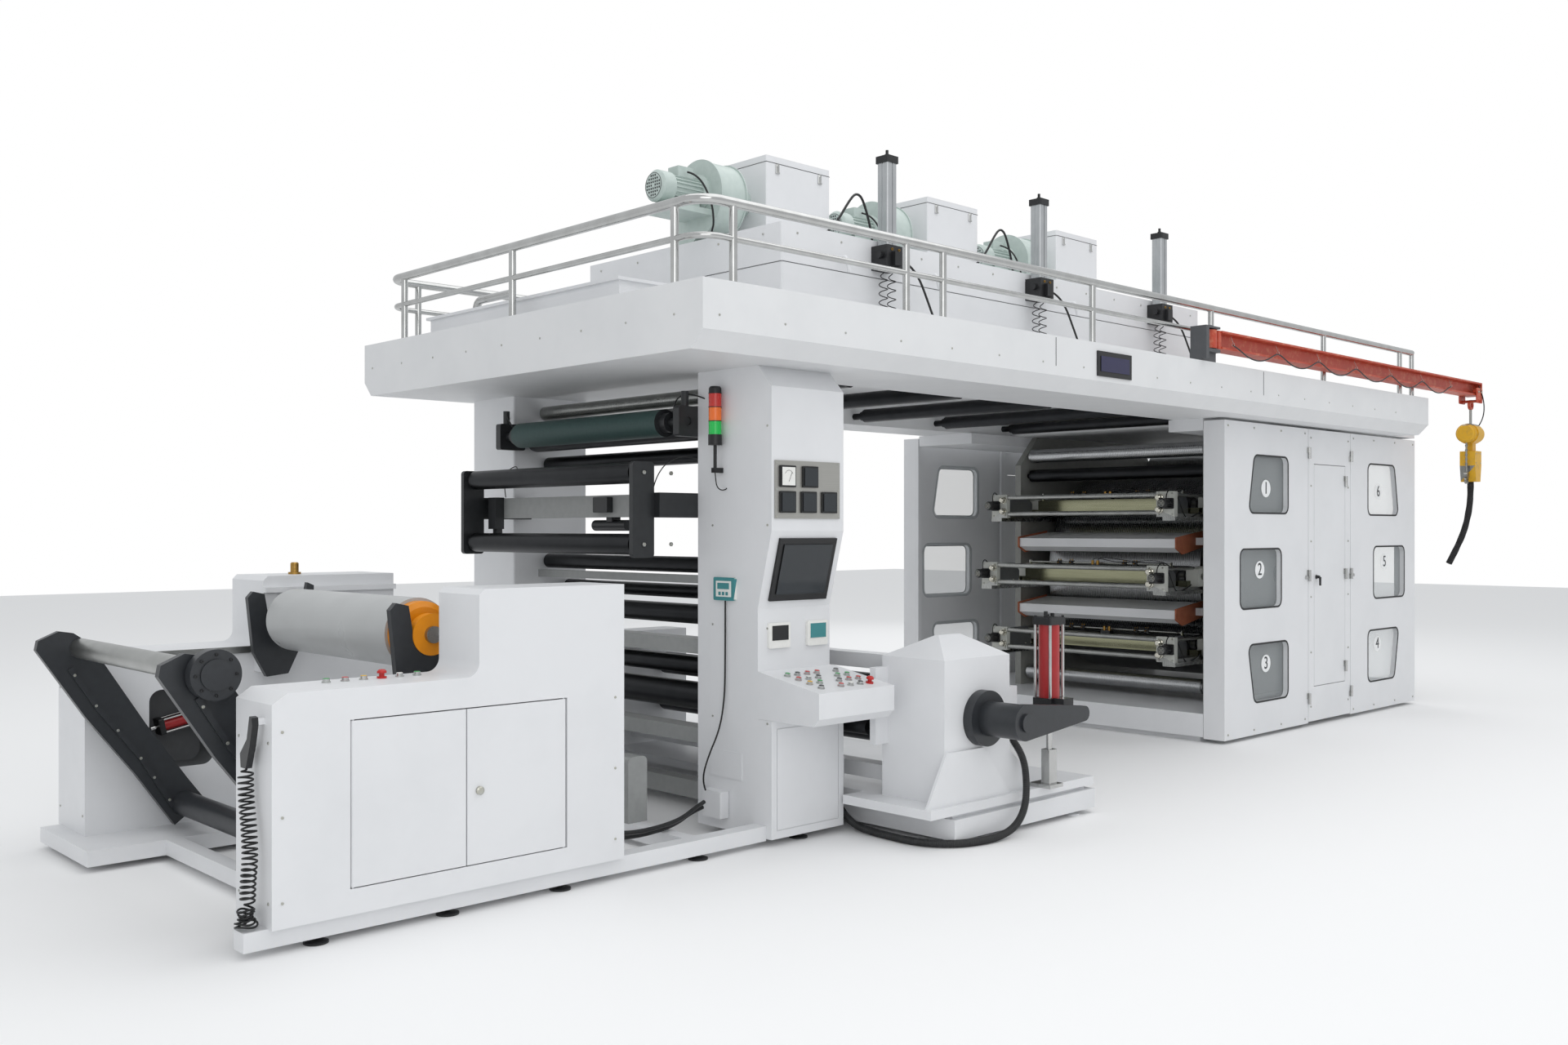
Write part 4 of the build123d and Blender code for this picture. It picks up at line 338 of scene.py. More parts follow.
# Hoist sleeve
# The hoist's control cable hangs in a black woven sleeve as thick as an arm, a little swung to one side. Its
# weave is coarser here than the real one of 2 mm, which wouldn't show.
SLEEVE_LINE = [
    (2.360, -1.685, 2.0397), (2.360, -1.685, 1.900), (2.345, -1.673, 1.750), (2.314, -1.648, 1.590),
    (2.262, -1.602, 1.430), (2.205, -1.548, 1.280),
]
SLEEVE_RADIUS = 0.029
sleeve_line = evenly(route_points(SLEEVE_LINE), 81)
sleeve_sizes = []
for i in range(len(sleeve_line)):
    share = i / (len(sleeve_line) - 1)
    sleeve_sizes.append(SLEEVE_RADIUS * (0.93 + 0.05 * math.sin(31 * share) * math.sin(9 * share + 1)))
# Woven black polyester: dull, with a raised plain weave and paler worn threads.
polyester = surface("black_woven_polyester", 0x0E0E0F, 0x2A2A2B, (35, 5.0), 0.85, relief=(0.5, 0.002),
                    bands=("DIAGONAL", 8, 1.0, 2.0))
hoist_cable_sleeve = swept_piece("hoist_cable_sleeve", sleeve_line, sleeve_sizes, "hoist", polyester, 20)
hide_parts("hoist_sleeve")


# Floor rails and levelling feet
# Welded steel rails under the unwinder and the tower, powder coated white like all the sheet metal, on turned
# black feet with a hexagon nut. The coat has a fine orange peel and takes up a little grey dust.
def powder_coat(name, colour, dust_colour, rough=0.38):
    """Polyester powder coat: fine orange peel of about 2 mm, drawn at 5 mm so that it shows, and faint dust."""
    return surface(name, colour, dust_colour, (420, 5.0), gloss=(rough - 0.06, rough + 0.10),
                   relief=(0.08, 0.0006), peel=(5, 2.0), fade=(0.42, 0.78, 0.35), noise={"Roughness": 0.6},
                   IOR=1.5)


def finish_node(node, *materials, choose=None):
    """Gives a CAD node its materials; choose finds a face's own from its middle point and its normal."""
    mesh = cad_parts[node].data
    mesh.materials.clear()
    for material in materials:
        mesh.materials.append(material)
    for face in mesh.polygons if choose else ():
        face.material_index = choose(face.center, face.normal)


white_powder = powder_coat("white_powder_coat", 0xE3E4E6, 0xD3D5D7)
black_powder = powder_coat("black_powder_coat", 0x1B1C1E, 0x2E2F31, 0.42)
finish_node("floor_sills", white_powder)
finish_node("levelling_feet", black_powder)


def facing(point, way):
    """The placement that puts an upright shape on a point, turned to face a way."""
    turn = Vector((0, 0, 1)).rotation_difference(Vector(way)).to_matrix().to_4x4()
    return Matrix.Translation(Vector(point)) @ turn


# Zinc plated steel: bright, with faint blue and yellow tones and a satin gloss.
zinc = surface("zinc_plated_steel", 0xC3C8CC, 0xB9B49F, (25, 2.0), 0.32, Metallic=1.0)
# A head's rings, from the seat to the floor of its recess: height and size as shares of the head's own.
HEAD_RINGS = ((0.0, 1.0), (0.75, 1.0), (1.0, 0.86), (1.0, 0.55), (0.55, 0.50))


def screws(name, places, radius, height, sides=6, body="press", material=zinc):
    """Screw heads with a bevelled rim and a recess; each place is a point and the way it faces."""
    build = bmesh.new()
    for point, way in places:
        seat = facing(point, way)
        rings = []
        for along, size in HEAD_RINGS:
            wide = radius * size
            rings.append([build.verts.new(seat @ Vector((wide * math.cos(angle), wide * math.sin(angle),
                                                         height * along))) for angle in circle(sides)])
        skin(build, rings)
    return built_piece(name, build, body, material)


# Print housing
# Folded sheet steel walls on a low base: two hinged doors with three windows each and a service door between
# them, and fixed panels of the same pattern on the far side.
for node in ("housing_base", "housing_roof", "housing_far_wall"):
    finish_node(node, white_powder)
# Polycarbonate panes: clear with a grey tint, half mirror at a low angle, faint wipe marks.
pane = surface("tinted_polycarbonate", 0xC9CFD1, cloud=(220, 3.0), gloss=(0.04, 0.16),
               noise={"Distortion": 1.2}, IOR=1.58, Alpha=0.28)
for node in ("glass_near_left", "glass_near_right", "glass_far"):
    finish_node(node, pane)


# Window gaskets
# Black rubber profile pressed round each window's cut edge; its lip on the outer face is 14 mm wide and 3 mm
# high, with round shoulders.
def round_corner_loop(corners, radius, steps=6):
    """A closed outline in X and Z with round corners."""
    points = []
    count = len(corners)
    for i in range(count):
        before = Vector(corners[i - 1])
        corner = Vector(corners[i])
        after = Vector(corners[(i + 1) % count])
        back = (before - corner).normalized()
        ahead = (after - corner).normalized()
        half = back.angle(ahead) / 2
        cut = radius / math.tan(half)
        middle = corner + (back + ahead).normalized() * (radius / math.sin(half))
        start = corner + back * cut - middle
        end = corner + ahead * cut - middle
        angle0 = math.atan2(start.y, start.x)
        sweep = (math.atan2(end.y, end.x) - angle0 + math.pi) % (2 * math.pi) - math.pi
        for k in range(steps + 1):
            angle = angle0 + sweep * k / steps
            points.append(middle + Vector((radius * math.cos(angle), radius * math.sin(angle))))
    return points


def ring_band(build, outline, y, width, depth):
    """A raised band that follows an outline in X and Z, on the face at y."""
    centre = sum(outline, Vector((0, 0))) / len(outline)
    rows = []
    for inset, lift in ((0.0, 0.0), (0.0, 0.7), (0.25, 1.0), (0.75, 1.0), (1.0, 0.7), (1.0, 0.0)):
        row = []
        for i, point in enumerate(outline):
            ahead = (outline[(i + 1) % len(outline)] - outline[i - 1]).normalized()
            normal = Vector((ahead.y, -ahead.x))
            if normal.dot(point - centre) < 0:
                normal = -normal
            spot = point - normal * (inset * width - width / 2)
            row.append(build.verts.new((spot.x, y + depth * lift, spot.y)))
        rows.append(row)
    skin(build, rows, ends=False)


WINDOW_OUTLINES = (
    ((-1.295, 2.165), (-0.741, 2.165), (-0.741, 1.722), (-1.384, 1.722)),
    ((-1.515, 1.447), (-0.855, 1.447), (-0.855, 0.995), (-1.515, 0.995)),
    ((-1.393, 0.720), (-0.741, 0.720), (-0.741, 0.275), (-1.295, 0.275)),
)
WINDOW_CORNER = 0.060
GASKET_WIDE = 0.014
GASKET_HIGH = 0.003
HOUSE_NEAR = -1.415
HOUSE_FAR = 1.720
# Extruded black EPDM: matt, with a dusty bloom.
epdm = surface("black_epdm_rubber", 0x1D1E1F, 0x3A3B3C, (30, 4.0), 0.7)
for body, hand, wall_y, out in (("near_left_door", 1, HOUSE_NEAR, -1), ("near_right_door", -1, HOUSE_NEAR, -1),
                                ("press", 1, HOUSE_FAR, 1), ("press", -1, HOUSE_FAR, 1)):
    build = bmesh.new()
    for corners in WINDOW_OUTLINES:
        loop = [Vector((point.x * hand, point.y)) for point in round_corner_loop(corners, WINDOW_CORNER)]
        ring_band(build, loop, wall_y, GASKET_WIDE, out * GASKET_HIGH)
    side = "near" if wall_y < 0 else "far"
    edge = "left" if hand > 0 else "right"
    built_piece(f"window_gaskets_{side}_{edge}", build, body, epdm)


# Window numbers
# Plain deck numbers on the operator's side, 1 to 3 on the left from the top and 6 to 4 on the right: a dark
# figure on a slightly oval disc of white vinyl, stuck to the outer face of each pane.
def vinyl_film(name, colour):
    """Cut vinyl film, satin, with the faint grain of its calendered face."""
    return surface(name, colour, cloud=(3, 2.0), rough=0.45, relief=(0.1, 0.0002))


NUMBER_HIGH = 0.135
NUMBER_PLACES = (("1", -1.03, 1.915), ("2", -1.13, 1.285), ("3", -1.03, 0.555),
                 ("6", 1.05, 1.930), ("5", 1.18, 1.310), ("4", 1.03, 0.590))
OVAL_WIDE = 0.074
OVAL_TALL = 0.068
OVAL_THICK = 0.0008
OVAL_SIDES = 32
vinyl = vinyl_film("dark_cut_vinyl", 0x2F3236)
oval_vinyl = vinyl_film("white_cut_vinyl", 0xF1F2F2)
PANE_OUT = HOUSE_NEAR + 0.040
for figure, x, z in NUMBER_PLACES:
    body = "near_left_door" if x < 0 else "near_right_door"
    data = bpy.data.curves.new(f"deck_number_{figure}", "FONT")
    data.body = figure
    data.size = NUMBER_HIGH
    data.extrude = 0.0006
    data.bevel_depth = 0.0003
    number = bpy.data.objects.new(f"deck_number_{figure}", data)
    bpy.context.collection.objects.link(number)
    data.align_x = "CENTER"
    data.align_y = "CENTER"
    number.location = (x, PANE_OUT - OVAL_THICK - 0.0009, z)
    number.rotation_euler = (math.radians(90), 0, 0)
    data.materials.append(vinyl)
    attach(number, body)
    oval = bmesh.new()
    rings = [[oval.verts.new((x + OVAL_WIDE * math.cos(turn), y, z + OVAL_TALL * math.sin(turn)))
              for turn in circle(OVAL_SIDES)] for y in (PANE_OUT - OVAL_THICK, PANE_OUT)]
    skin(oval, rings)
    built_piece(f"deck_number_oval_{figure}", oval, body, oval_vinyl)


# Panel screws of the walls
# Button head screws along the free edges of the doors and the centre frame, zinc plated.
screw_places = []
for z in (0.16, 0.60, 1.05, 1.50, 1.95, 2.34):
    for x in (-0.345, 0.345):
        screw_places.append(((x, HOUSE_NEAR, z), (0, -1, 0)))
        screw_places.append(((x, HOUSE_FAR, z), (0, 1, 0)))
screws("centre_frame_screws", screw_places, 0.008, 0.005, 10)
for body, hand in (("near_left_door", -1), ("near_right_door", 1)):
    places = [((hand * x, HOUSE_NEAR, z), (0, -1, 0)) for z in (0.07, 2.37) for x in (0.45, 0.86, 1.30, 1.70)]
    screws(f"{body}_screws", places, 0.008, 0.005, 10, body)


# Side frames and drum
# Two thick machined plates in grey paint carry the drum and the decks. The drum's rim is ground and hard
# chromed, so its shell mirrors softly, with fine marks that run round it.
def grey_enamel(name, colour, second, rough=0.45):
    """Two-pack enamel sprayed on machined plate: even, with faint spray mottle of about 40 mm."""
    return surface(name, colour, second, (40, 3.0), rough, relief=(0.05, 0.001))


def turned_metal(name, colour, second, rough, pitch):
    """Turned or ground metal: fine rings along Y at the tool's feed, drawn as coarse as they show."""
    return surface(name, colour, second, (120, 4.0), gloss=(rough, rough + 0.12), relief=(0.06, 0.0003),
                   bands=("Y", pitch, 2.0, 3.0), Metallic=1.0)


frame_grey = grey_enamel("warm_grey_enamel", 0x9C9D98, 0x8B8C88)
drum_chrome = turned_metal("hard_chromed_drum", 0xA9AAAB, 0x8F9092, 0.22, 9)
finish_node("side_frames", frame_grey)
finish_node("central_drum", drum_chrome)


# Print decks
# On each deck a chromed plate cylinder and a ground ceramic anilox roller turn in grey bearing blocks. The
# doctor blade chamber is anodised a greenish gold, its tray and bars are bright steel, its valves are brass.
DECK_LEVELS = (1.800, 1.220, 0.660)
DECK_OUTER = (1.500, 1.640, 1.500)
PLATE_RADIUS = 0.078
ANILOX_RADIUS = 0.062
DRUM_RADIUS = 0.900
DRUM_Z = 1.220
RUN_GAP = 0.006
ANILOX_GAP = 0.003
plate_chrome = turned_metal("chromed_plate_cylinder", 0xC4C5C4, 0x9FA19F, 0.16, 7)
anilox_ceramic = turned_metal("ground_ceramic_anilox", 0x6B6C6C, 0x585959, 0.38, 5)
bar_steel = turned_metal("drawn_steel_bar", 0xB9BAB8, 0x8E8F8C, 0.25, 6)
# Anodised aluminium extrusion in greenish gold: satin, streaked along its length.
chamber_gold = surface("gold_anodised_aluminium", 0x86866A, 0xACAB90, (250, 4.0), gloss=(0.12, 0.22),
                       drawn=(14.0, 0.8, 14.0), Metallic=1.0)
# Turned brass: warm, a little tarnished.
fitting_brass = surface("turned_brass", 0xC9A15A, 0x8F6B33, (12, 3.0), 0.3, Metallic=1.0)
# Nickel plated nuts: bright and slightly warm.
nut_nickel = surface("nickel_plated_nut", 0xD9D7CD, 0xBDB9AA, (8, 2.0), 0.15, Metallic=1.0)
block_grey = grey_enamel("light_grey_enamel", 0xCBCCC6, 0xB9BBB4, 0.4)
cheek_grey = grey_enamel("dark_grey_enamel", 0x55575A, 0x45474A)
finish_node("plate_cylinders", plate_chrome)


def deck_of(middle):
    """The nearest deck's level and its outer end."""
    return min(zip(DECK_LEVELS, DECK_OUTER), key=lambda deck: abs(middle.z - deck[0]))


def anilox_x(level):
    plate_x = math.sqrt((DRUM_RADIUS + PLATE_RADIUS + RUN_GAP) ** 2 - (level - DRUM_Z) ** 2)
    return plate_x + PLATE_RADIUS + ANILOX_RADIUS + ANILOX_GAP


def tooling_finish(middle, normal):
    """Anilox roller, bright tie bars and top bar, brass valves, and the gold chamber with its tray."""
    level, outer = deck_of(middle)
    off = abs(middle.x) - anilox_x(level)
    up = middle.z - level
    if math.hypot(off, up) < ANILOX_RADIUS + 0.002:
        return 0
    if abs(middle.x) > outer:
        return 1
    if up > 0.084 and abs(middle.y) < 0.07:
        return 3
    if up > 0.084:
        return 1
    if abs(middle.y) < 0.046 and up > 0.0605:
        return 4
    return 2


finish_node("deck_tooling", anilox_ceramic, bar_steel, chamber_gold, fitting_brass, black_powder,
            choose=tooling_finish)


def heads_finish(middle, normal):
    """Light grey blocks and end blocks, dark cheeks, bright nuts, rails and screws."""
    level, outer = deck_of(middle)
    up = middle.z - level
    if abs(middle.x) > outer + 0.0451:
        return 2
    if abs(middle.y) < 0.7752 and abs(middle.x) < outer - 0.0005:
        return 1
    if up < -PLATE_RADIUS + 0.0002:
        return 3
    if abs(abs(middle.y) - 0.835) < 0.0125 and abs(up - 0.066) < 0.0125 and abs(normal.x) < 0.5:
        return 3
    return 0


finish_node("deck_heads", block_grey, cheek_grey, nut_nickel, bar_steel, choose=heads_finish)


# Deck motors
# Small black geared motors on the end blocks, with cast fins and a pressed fan guard. The guard's rings are
# round steel wire, welded to four spokes.
def wire_ring(build, middle, ahead, radius, wire, around=28, section=6):
    """A ring of round wire in a mesh, round an axis."""
    seat = facing(middle, ahead)
    rings = []
    for angle in circle(around):
        ring = []
        for turn in circle(section):
            reach = radius + wire * math.cos(turn)
            spot = Vector((reach * math.cos(angle), reach * math.sin(angle), wire * math.sin(turn)))
            ring.append(build.verts.new(seat @ spot))
        rings.append(ring)
    skin(build, rings + rings[:1], smooth=True, ends=False)


def wire_rod(build, start, end, wire, section=6):
    """A straight round wire in a mesh, with closed ends."""
    ahead = Vector(end) - Vector(start)
    seat = facing(start, ahead)
    skin(build, [[build.verts.new(seat @ Vector((wire * math.cos(angle), wire * math.sin(angle), along)))
                  for angle in circle(section)] for along in (0.0, ahead.length)])


def add_box(build, middle, size):
    """A box in a mesh, from its middle and its size."""
    for corner in bmesh.ops.create_cube(build, size=1.0)["verts"]:
        corner.co = Vector([start + share * whole for start, share, whole in zip(middle, corner.co, size)])


def box_piece(name, boxes, material, bevel=0.0, segments=1):
    """A piece made of boxes, each a middle and a size, with its edges broken where a bevel is given."""
    build = bmesh.new()
    for middle, size in boxes:
        add_box(build, middle, size)
    if bevel:
        bmesh.ops.bevel(build, geom=build.edges[:], offset=bevel, segments=segments, affect="EDGES")
    return built_piece(name, build, "press", material)


finish_node("deck_motors", black_powder)
MOTOR_OUT = 0.045 + 0.0003 + 0.120
MOTOR_Y = 0.838
GUARD_RINGS = (0.010, 0.018, 0.026)
WIRE = 0.0014
guards = bmesh.new()
for level, outer in zip(DECK_LEVELS, DECK_OUTER):
    for side in (-1, 1):
        for hand in (-1, 1):
            middle = Vector((side * (outer + MOTOR_OUT + WIRE), hand * MOTOR_Y, level))
            for radius in GUARD_RINGS:
                wire_ring(guards, middle, (side, 0, 0), radius, WIRE, 20)
            for angle in (45, 135):
                lean = math.radians(angle)
                reach = Vector((0, math.cos(lean), math.sin(lean))) * GUARD_RINGS[-1]
                wire_rod(guards, middle - reach, middle + reach, WIRE)
built_piece("deck_motor_guards", guards, "press", zinc)


# Deck screws and air lines
# Socket head screws hold the blocks and end blocks; thin black air lines run from the valve block at the
# middle of each chamber along its top bar to the operator's side.
socket_places = []
for level, outer in zip(DECK_LEVELS, DECK_OUTER):
    for side in (-1, 1):
        for hand in (-1, 1):
            for y in (0.745, 0.865):
                for up in (-0.085, 0.080):
                    socket_places.append(((side * (outer + 0.045), hand * y, level + up), (side, 0, 0)))
            for x in (0.22, 0.30):
                socket_places.append(((side * (anilox_x(level) + x), hand * 0.7452, level - 0.06), (0, -hand, 0)))
screws("deck_socket_screws", socket_places, 0.007, 0.008, 8)
for number, (level, side) in enumerate((level, side) for level in DECK_LEVELS for side in (-1, 1)):
    x0 = anilox_x(level) + ANILOX_RADIUS + RUN_GAP
    for strand, (lift, sway) in enumerate(((0.128, 0.010), (0.118, -0.012))):
        points = [(side * (x0 + 0.099), (2 * strand - 1) * 0.024, level + 0.118),
                  (side * (x0 + 0.099), (2 * strand - 1) * 0.024 - 0.02, level + 0.150),
                  (side * (x0 + 0.085), -0.16, level + lift + sway), (side * (x0 + 0.075), -0.34, level + 0.112),
                  (side * (x0 + 0.078), -0.52, level + 0.116 + sway), (side * (x0 + 0.090), -0.66, level + 0.112),
                  (side * (x0 + 0.140), -0.735, level + 0.070)]
        cord_curve(f"deck_air_line_{number + 1}_{strand + 1}", points, 0.006)


# Deck cables and valve blocks
# Black cables leave each motor's top and go back along the rail to the side frame. Small black valve blocks
# with brass nipples are clamped on the round bar over the chamber.
for number, (level, outer) in enumerate(zip(DECK_LEVELS, DECK_OUTER)):
    for side in (-1, 1):
        for hand in (-1, 1):
            points = [(side * (outer + 0.090), hand * MOTOR_Y, level + 0.028),
                      (side * (outer + 0.100), hand * (MOTOR_Y + 0.005), level + 0.085),
                      (side * (outer + 0.030), hand * (MOTOR_Y + 0.020), level + 0.130),
                      (side * (outer - 0.060), hand * (MOTOR_Y + 0.030), level + 0.020),
                      (side * (outer - 0.130), hand * (MOTOR_Y + 0.035), level - 0.120),
                      (side * (outer - 0.260), hand * (MOTOR_Y + 0.040), level - 0.100),
                      (side * (outer - 0.340), hand * 0.8885, level - 0.060)]
            hand_word = "far" if hand > 0 else "near"
            side_word = "right" if side > 0 else "left"
            cord_curve(f"deck_cable_{number + 1}_{side_word}_{hand_word}", points, 0.009)
BAR_RISE = 0.096
valves = []
nipples = []
for level in DECK_LEVELS:
    for side in (-1, 1):
        x = side * (anilox_x(level) + ANILOX_RADIUS + RUN_GAP + 0.060)
        for y in (-0.36, -0.26, 0.26, 0.38):
            valves.append(((x, y, level + BAR_RISE), (0.032, 0.044, 0.030)))
            nipples += [((x, y + dy, level + BAR_RISE + 0.015), (0, 0, 1)) for dy in (-0.011, 0.011)]
            nipples.append(((x + side * 0.016, y, level + BAR_RISE), (side, 0, 0)))
box_piece("deck_bar_valves", valves, black_powder, 0.0025, 2)
screws("deck_bar_nipples", nipples, 0.005, 0.014, 8, material=fitting_brass)


# Air boxes
# White sheet metal boxes between the decks blow warm air on the print; their end plates are painted a rust
# orange primer that is left bare.
# Iron oxide primer: matt, brushed on unevenly.
rust_primer = surface("iron_oxide_primer", 0x8E4B32, 0xB06A4A, (50, 5.0), 0.65)
END_PLATE = (0.7599, 0.7725)
finish_node("deck_dryers", white_powder, rust_primer,
            choose=lambda middle, normal: int(END_PLATE[0] < abs(middle.y) < END_PLATE[1]))


# Web rollers
# Hard anodised aluminium rollers carry the web above, below and under the bridge: nearly black, with fine
# turning marks. Those at the top and at the bottom of the print housing are bright.
roller_black = turned_metal("black_anodised_roller", 0x2C2D2F, 0x3A3B3D, 0.30, 6)
roller_bright = turned_metal("bright_aluminium_roller", 0xC8C9CA, 0xAFB0B2, 0.24, 6)
HOUSING_TOP_ROLLERS = 2.18
HOUSING_LOW_ROLLERS = 0.40


def roller_finish(middle, normal):
    at_top = middle.z > HOUSING_TOP_ROLLERS and abs(middle.x) < 1.1
    return int(at_top or middle.z < HOUSING_LOW_ROLLERS)


finish_node("housing_rollers", roller_black, roller_bright, choose=roller_finish)


# Bridge platform
# A folded sheet steel tray in white powder coat, stiffened by sloped edges, with a polished stainless tube
# handrail on round flanges. The low white locker at the unwinder's end has a bent stainless tube on its lid.
# Polished stainless tube: bright, with faint long polish marks and smudges.
stainless = surface("polished_stainless", 0xCFD0CF, 0xAFAFAD, (90, 4.0), gloss=(0.08, 0.24), Metallic=1.0)
bridge_white = powder_coat("bridge_powder_coat", 0xE1E2E3, 0xCFD1D3, 0.45)
LOCKER_LID = 2.894
finish_node("platform_deck", bridge_white)
finish_node("handrail", stainless)
finish_node("low_locker", white_powder, stainless, choose=lambda middle, normal: int(middle.z > LOCKER_LID))


# Door hinges
# Barrel hinges of bright stainless steel, welded to the outer face of the doors and of the centre frame. The
# service door's lever is black powder coat on its rose.
def hinge_finish(middle, normal):
    """Whatever stands in front of the wall's outer face is a hinge, apart from the service door's lever."""
    if middle.y > HOUSE_NEAR - 0.0005:
        return 0
    return 2 if -0.29 < middle.x < -0.21 else 1


for wall in ("housing_near_frame", "door_near_left", "door_near_right", "service_door"):
    finish_node(wall, white_powder, stainless, black_powder, choose=hinge_finish)


# Bridge seams and screws
# The tray's side is spliced where two sheets meet, and cap screws hold its rim and the handrail's flanges.
DECK_NEAR = -1.705
seams = [((x, DECK_NEAR - 0.0008, 2.655), (0.004, 0.0016, 0.17)) for x in (-4.30, -1.72)]
box_piece("bridge_splice_lines", seams, black_powder)
rim_places = [((-6.95 + 0.42 * k, DECK_NEAR, 2.585), (0, -1, 0)) for k in range(19)]
rim_places += [((-7.05, -1.50 + 0.37 * k, 2.60), (-1, 0, 0)) for k in range(9)]
screws("bridge_cap_screws", rim_places, 0.006, 0.003)


# Dryer box and heaters
# White sheet metal boxes: the dryer lies along the bridge, three heaters stand on it with lids held by small
# pressed latches, and with two round vents and a wide pipe stub on top.
finish_node("dryer_box", white_powder)
HEATERS = (-5.53, -4.05, -2.57)
HEATER_LONG = 0.54
HEATER_NEAR = -0.50
LID_SEAM = 3.792
# A latch's plate, catch and foot: rise over its middle, width, height and depth.
LATCH_PARTS = ((0.0, 0.026, 0.050, 0.007), (0.018, 0.018, 0.016, 0.012), (-0.026, 0.030, 0.010, 0.010))
latches = [((x, HEATER_NEAR - out / 2, LID_SEAM - 0.03 + lift), (wide, out, tall))
           for x0 in HEATERS for x in (x0 + 0.09, x0 + HEATER_LONG - 0.09)
           for lift, wide, tall, out in LATCH_PARTS]
box_piece("heater_latches", latches, stainless, 0.0015)
LINE = 0.0025


def seam_lines(left, right, near, far, level):
    """The boxes of a dark line 2.5 mm high along a sheet box's front and both its ends."""
    middle, deep = (near + far) / 2, far - near
    return [(((left + right) / 2, near - 0.0005, level), (right - left, 0.001, LINE)),
            ((left - 0.0005, middle, level), (0.001, deep, LINE)),
            ((right + 0.0005, middle, level), (0.001, deep, LINE))]


lid_lines = [line for x0 in HEATERS for line in seam_lines(x0, x0 + HEATER_LONG, HEATER_NEAR, 0.1, LID_SEAM)]
box_piece("heater_lid_lines", lid_lines, black_powder)
DRYER_NEAR = -1.0
DRYER_LEFT = -5.88
DRYER_RIGHT = -1.39
DRYER_SEAM = 3.08
DRYER_ROWS = (2.80, 3.25)
DRYER_PITCH = 0.3539
dryer_places = [((DRYER_LEFT + 0.12 + DRYER_PITCH * k, DRYER_NEAR, z), (0, -1, 0))
                for k in range(13) for z in DRYER_ROWS]
dryer_places += [((DRYER_LEFT, -0.85 + 0.38 * k, z), (-1, 0, 0)) for k in range(5) for z in DRYER_ROWS]
screws("dryer_screws", dryer_places, 0.007, 0.004)
box_piece("dryer_seam", seam_lines(DRYER_LEFT, DRYER_RIGHT, DRYER_NEAR, 0.8, DRYER_SEAM), black_powder)


# Fans
# Centrifugal fans in pale grey-green enamel: a welded sheet scroll and a ribbed motor whose cowl has a grille
# of small square holes, drawn as thin black squares of painted shade. A black cable runs from each motor down to
# the dryer.
fan_green = grey_enamel("grey_green_enamel", 0xC3CFCA, 0xAFBDB8, 0.35)
finish_node("blowers", fan_green)
FANS = (-5.78, -4.30, -2.82)
FAN_Y = -0.28
FAN_Z = 3.57
COWL_END = 0.430
COWL_RADIUS = 0.092
HOLE = 0.0105
PITCH = 0.0185
grilles = bmesh.new()
for x in FANS:
    for row in range(-3, 4):
        for column in range(-3, 4):
            y = row * PITCH
            z = column * PITCH
            if math.hypot(y, z) > COWL_RADIUS - 0.030 or math.hypot(y, z) < 0.012:
                continue
            # Each hole is a thin black square laid on the cowl's face: painted shade of the opening.
            add_box(grilles, (x - COWL_END - 0.0004, FAN_Y + y, FAN_Z + z), (0.001, HOLE, HOLE))
    wire_ring(grilles, (x - COWL_END, FAN_Y, FAN_Z), (1, 0, 0), COWL_RADIUS - 0.020, 0.0016, 32, 5)
built_piece("fan_grilles", grilles, "press", black_powder)
for number, x in enumerate(FANS):
    points = [(x - 0.225, FAN_Y - 0.062, FAN_Z + 0.10), (x - 0.220, FAN_Y - 0.155, FAN_Z + 0.07),
              (x - 0.160, FAN_Y - 0.200, FAN_Z - 0.08), (x - 0.130, FAN_Y - 0.185, FAN_Z - 0.20),
              (x - 0.125, FAN_Y - 0.160, 3.33), (x - 0.125, FAN_Y - 0.150, 3.303)]
    cord_curve(f"fan_cable_{number + 1}", points, 0.012)


# Lift cylinders
# Upright pneumatic cylinders with a clear anodised tube, black end caps and a black valve block below, which
# has two small brass silencers screwed into its front.
anodised = turned_metal("clear_anodised_tube", 0xC9CBCC, 0xB1B4B6, 0.28, 8)
LIFT_Y = -1.06
TUBE_LOW = 3.262
TUBE_HIGH = 3.7499
finish_node("lift_cylinders", anodised, black_powder,
            choose=lambda middle, normal: int(not TUBE_LOW <= middle.z <= TUBE_HIGH))
silencers = [((x + dx, LIFT_Y - 0.055, 3.235), (0, -1, 0)) for x in LIFTS_X for dx in (-0.03, 0.03)]
screws("lift_silencers", silencers, 0.009, 0.016, 10, material=fitting_brass)


# Bridge air lines
# Black hoses fall from the cylinders' valve blocks onto the tray, and short bent white fittings stand on the
# dryer's front; an inverted V of black hose stands between neighbouring heaters.
for number, x in enumerate(LIFTS_X):
    points = [(x + 0.065, LIFT_Y, 3.20), (x + 0.14, LIFT_Y - 0.01, 3.20), (x + 0.22, LIFT_Y - 0.05, 3.12),
              (x + 0.27, LIFT_Y - 0.09, 2.95), (x + 0.30, LIFT_Y - 0.13, 2.80), (x + 0.34, LIFT_Y - 0.16, 2.762)]
    cord_curve(f"bridge_hose_{number + 1}", points, 0.014)
for number, x0 in enumerate(HEATERS[:-1]):
    peak = x0 + HEATER_LONG + 0.20
    points = [(x0 + HEATER_LONG - 0.10, HEATER_NEAR - 0.012, 3.40), (peak - 0.22, HEATER_NEAR - 0.05, 3.46),
              (peak - 0.06, HEATER_NEAR - 0.05, 3.68), (peak, HEATER_NEAR - 0.05, 3.72),
              (peak + 0.06, HEATER_NEAR - 0.05, 3.68), (peak + 0.15, HEATER_NEAR - 0.05, 3.44),
              (peak + 0.16, HEATER_NEAR - 0.04, 3.303)]
    cord_curve(f"heater_hose_{number + 1}", points, 0.016)
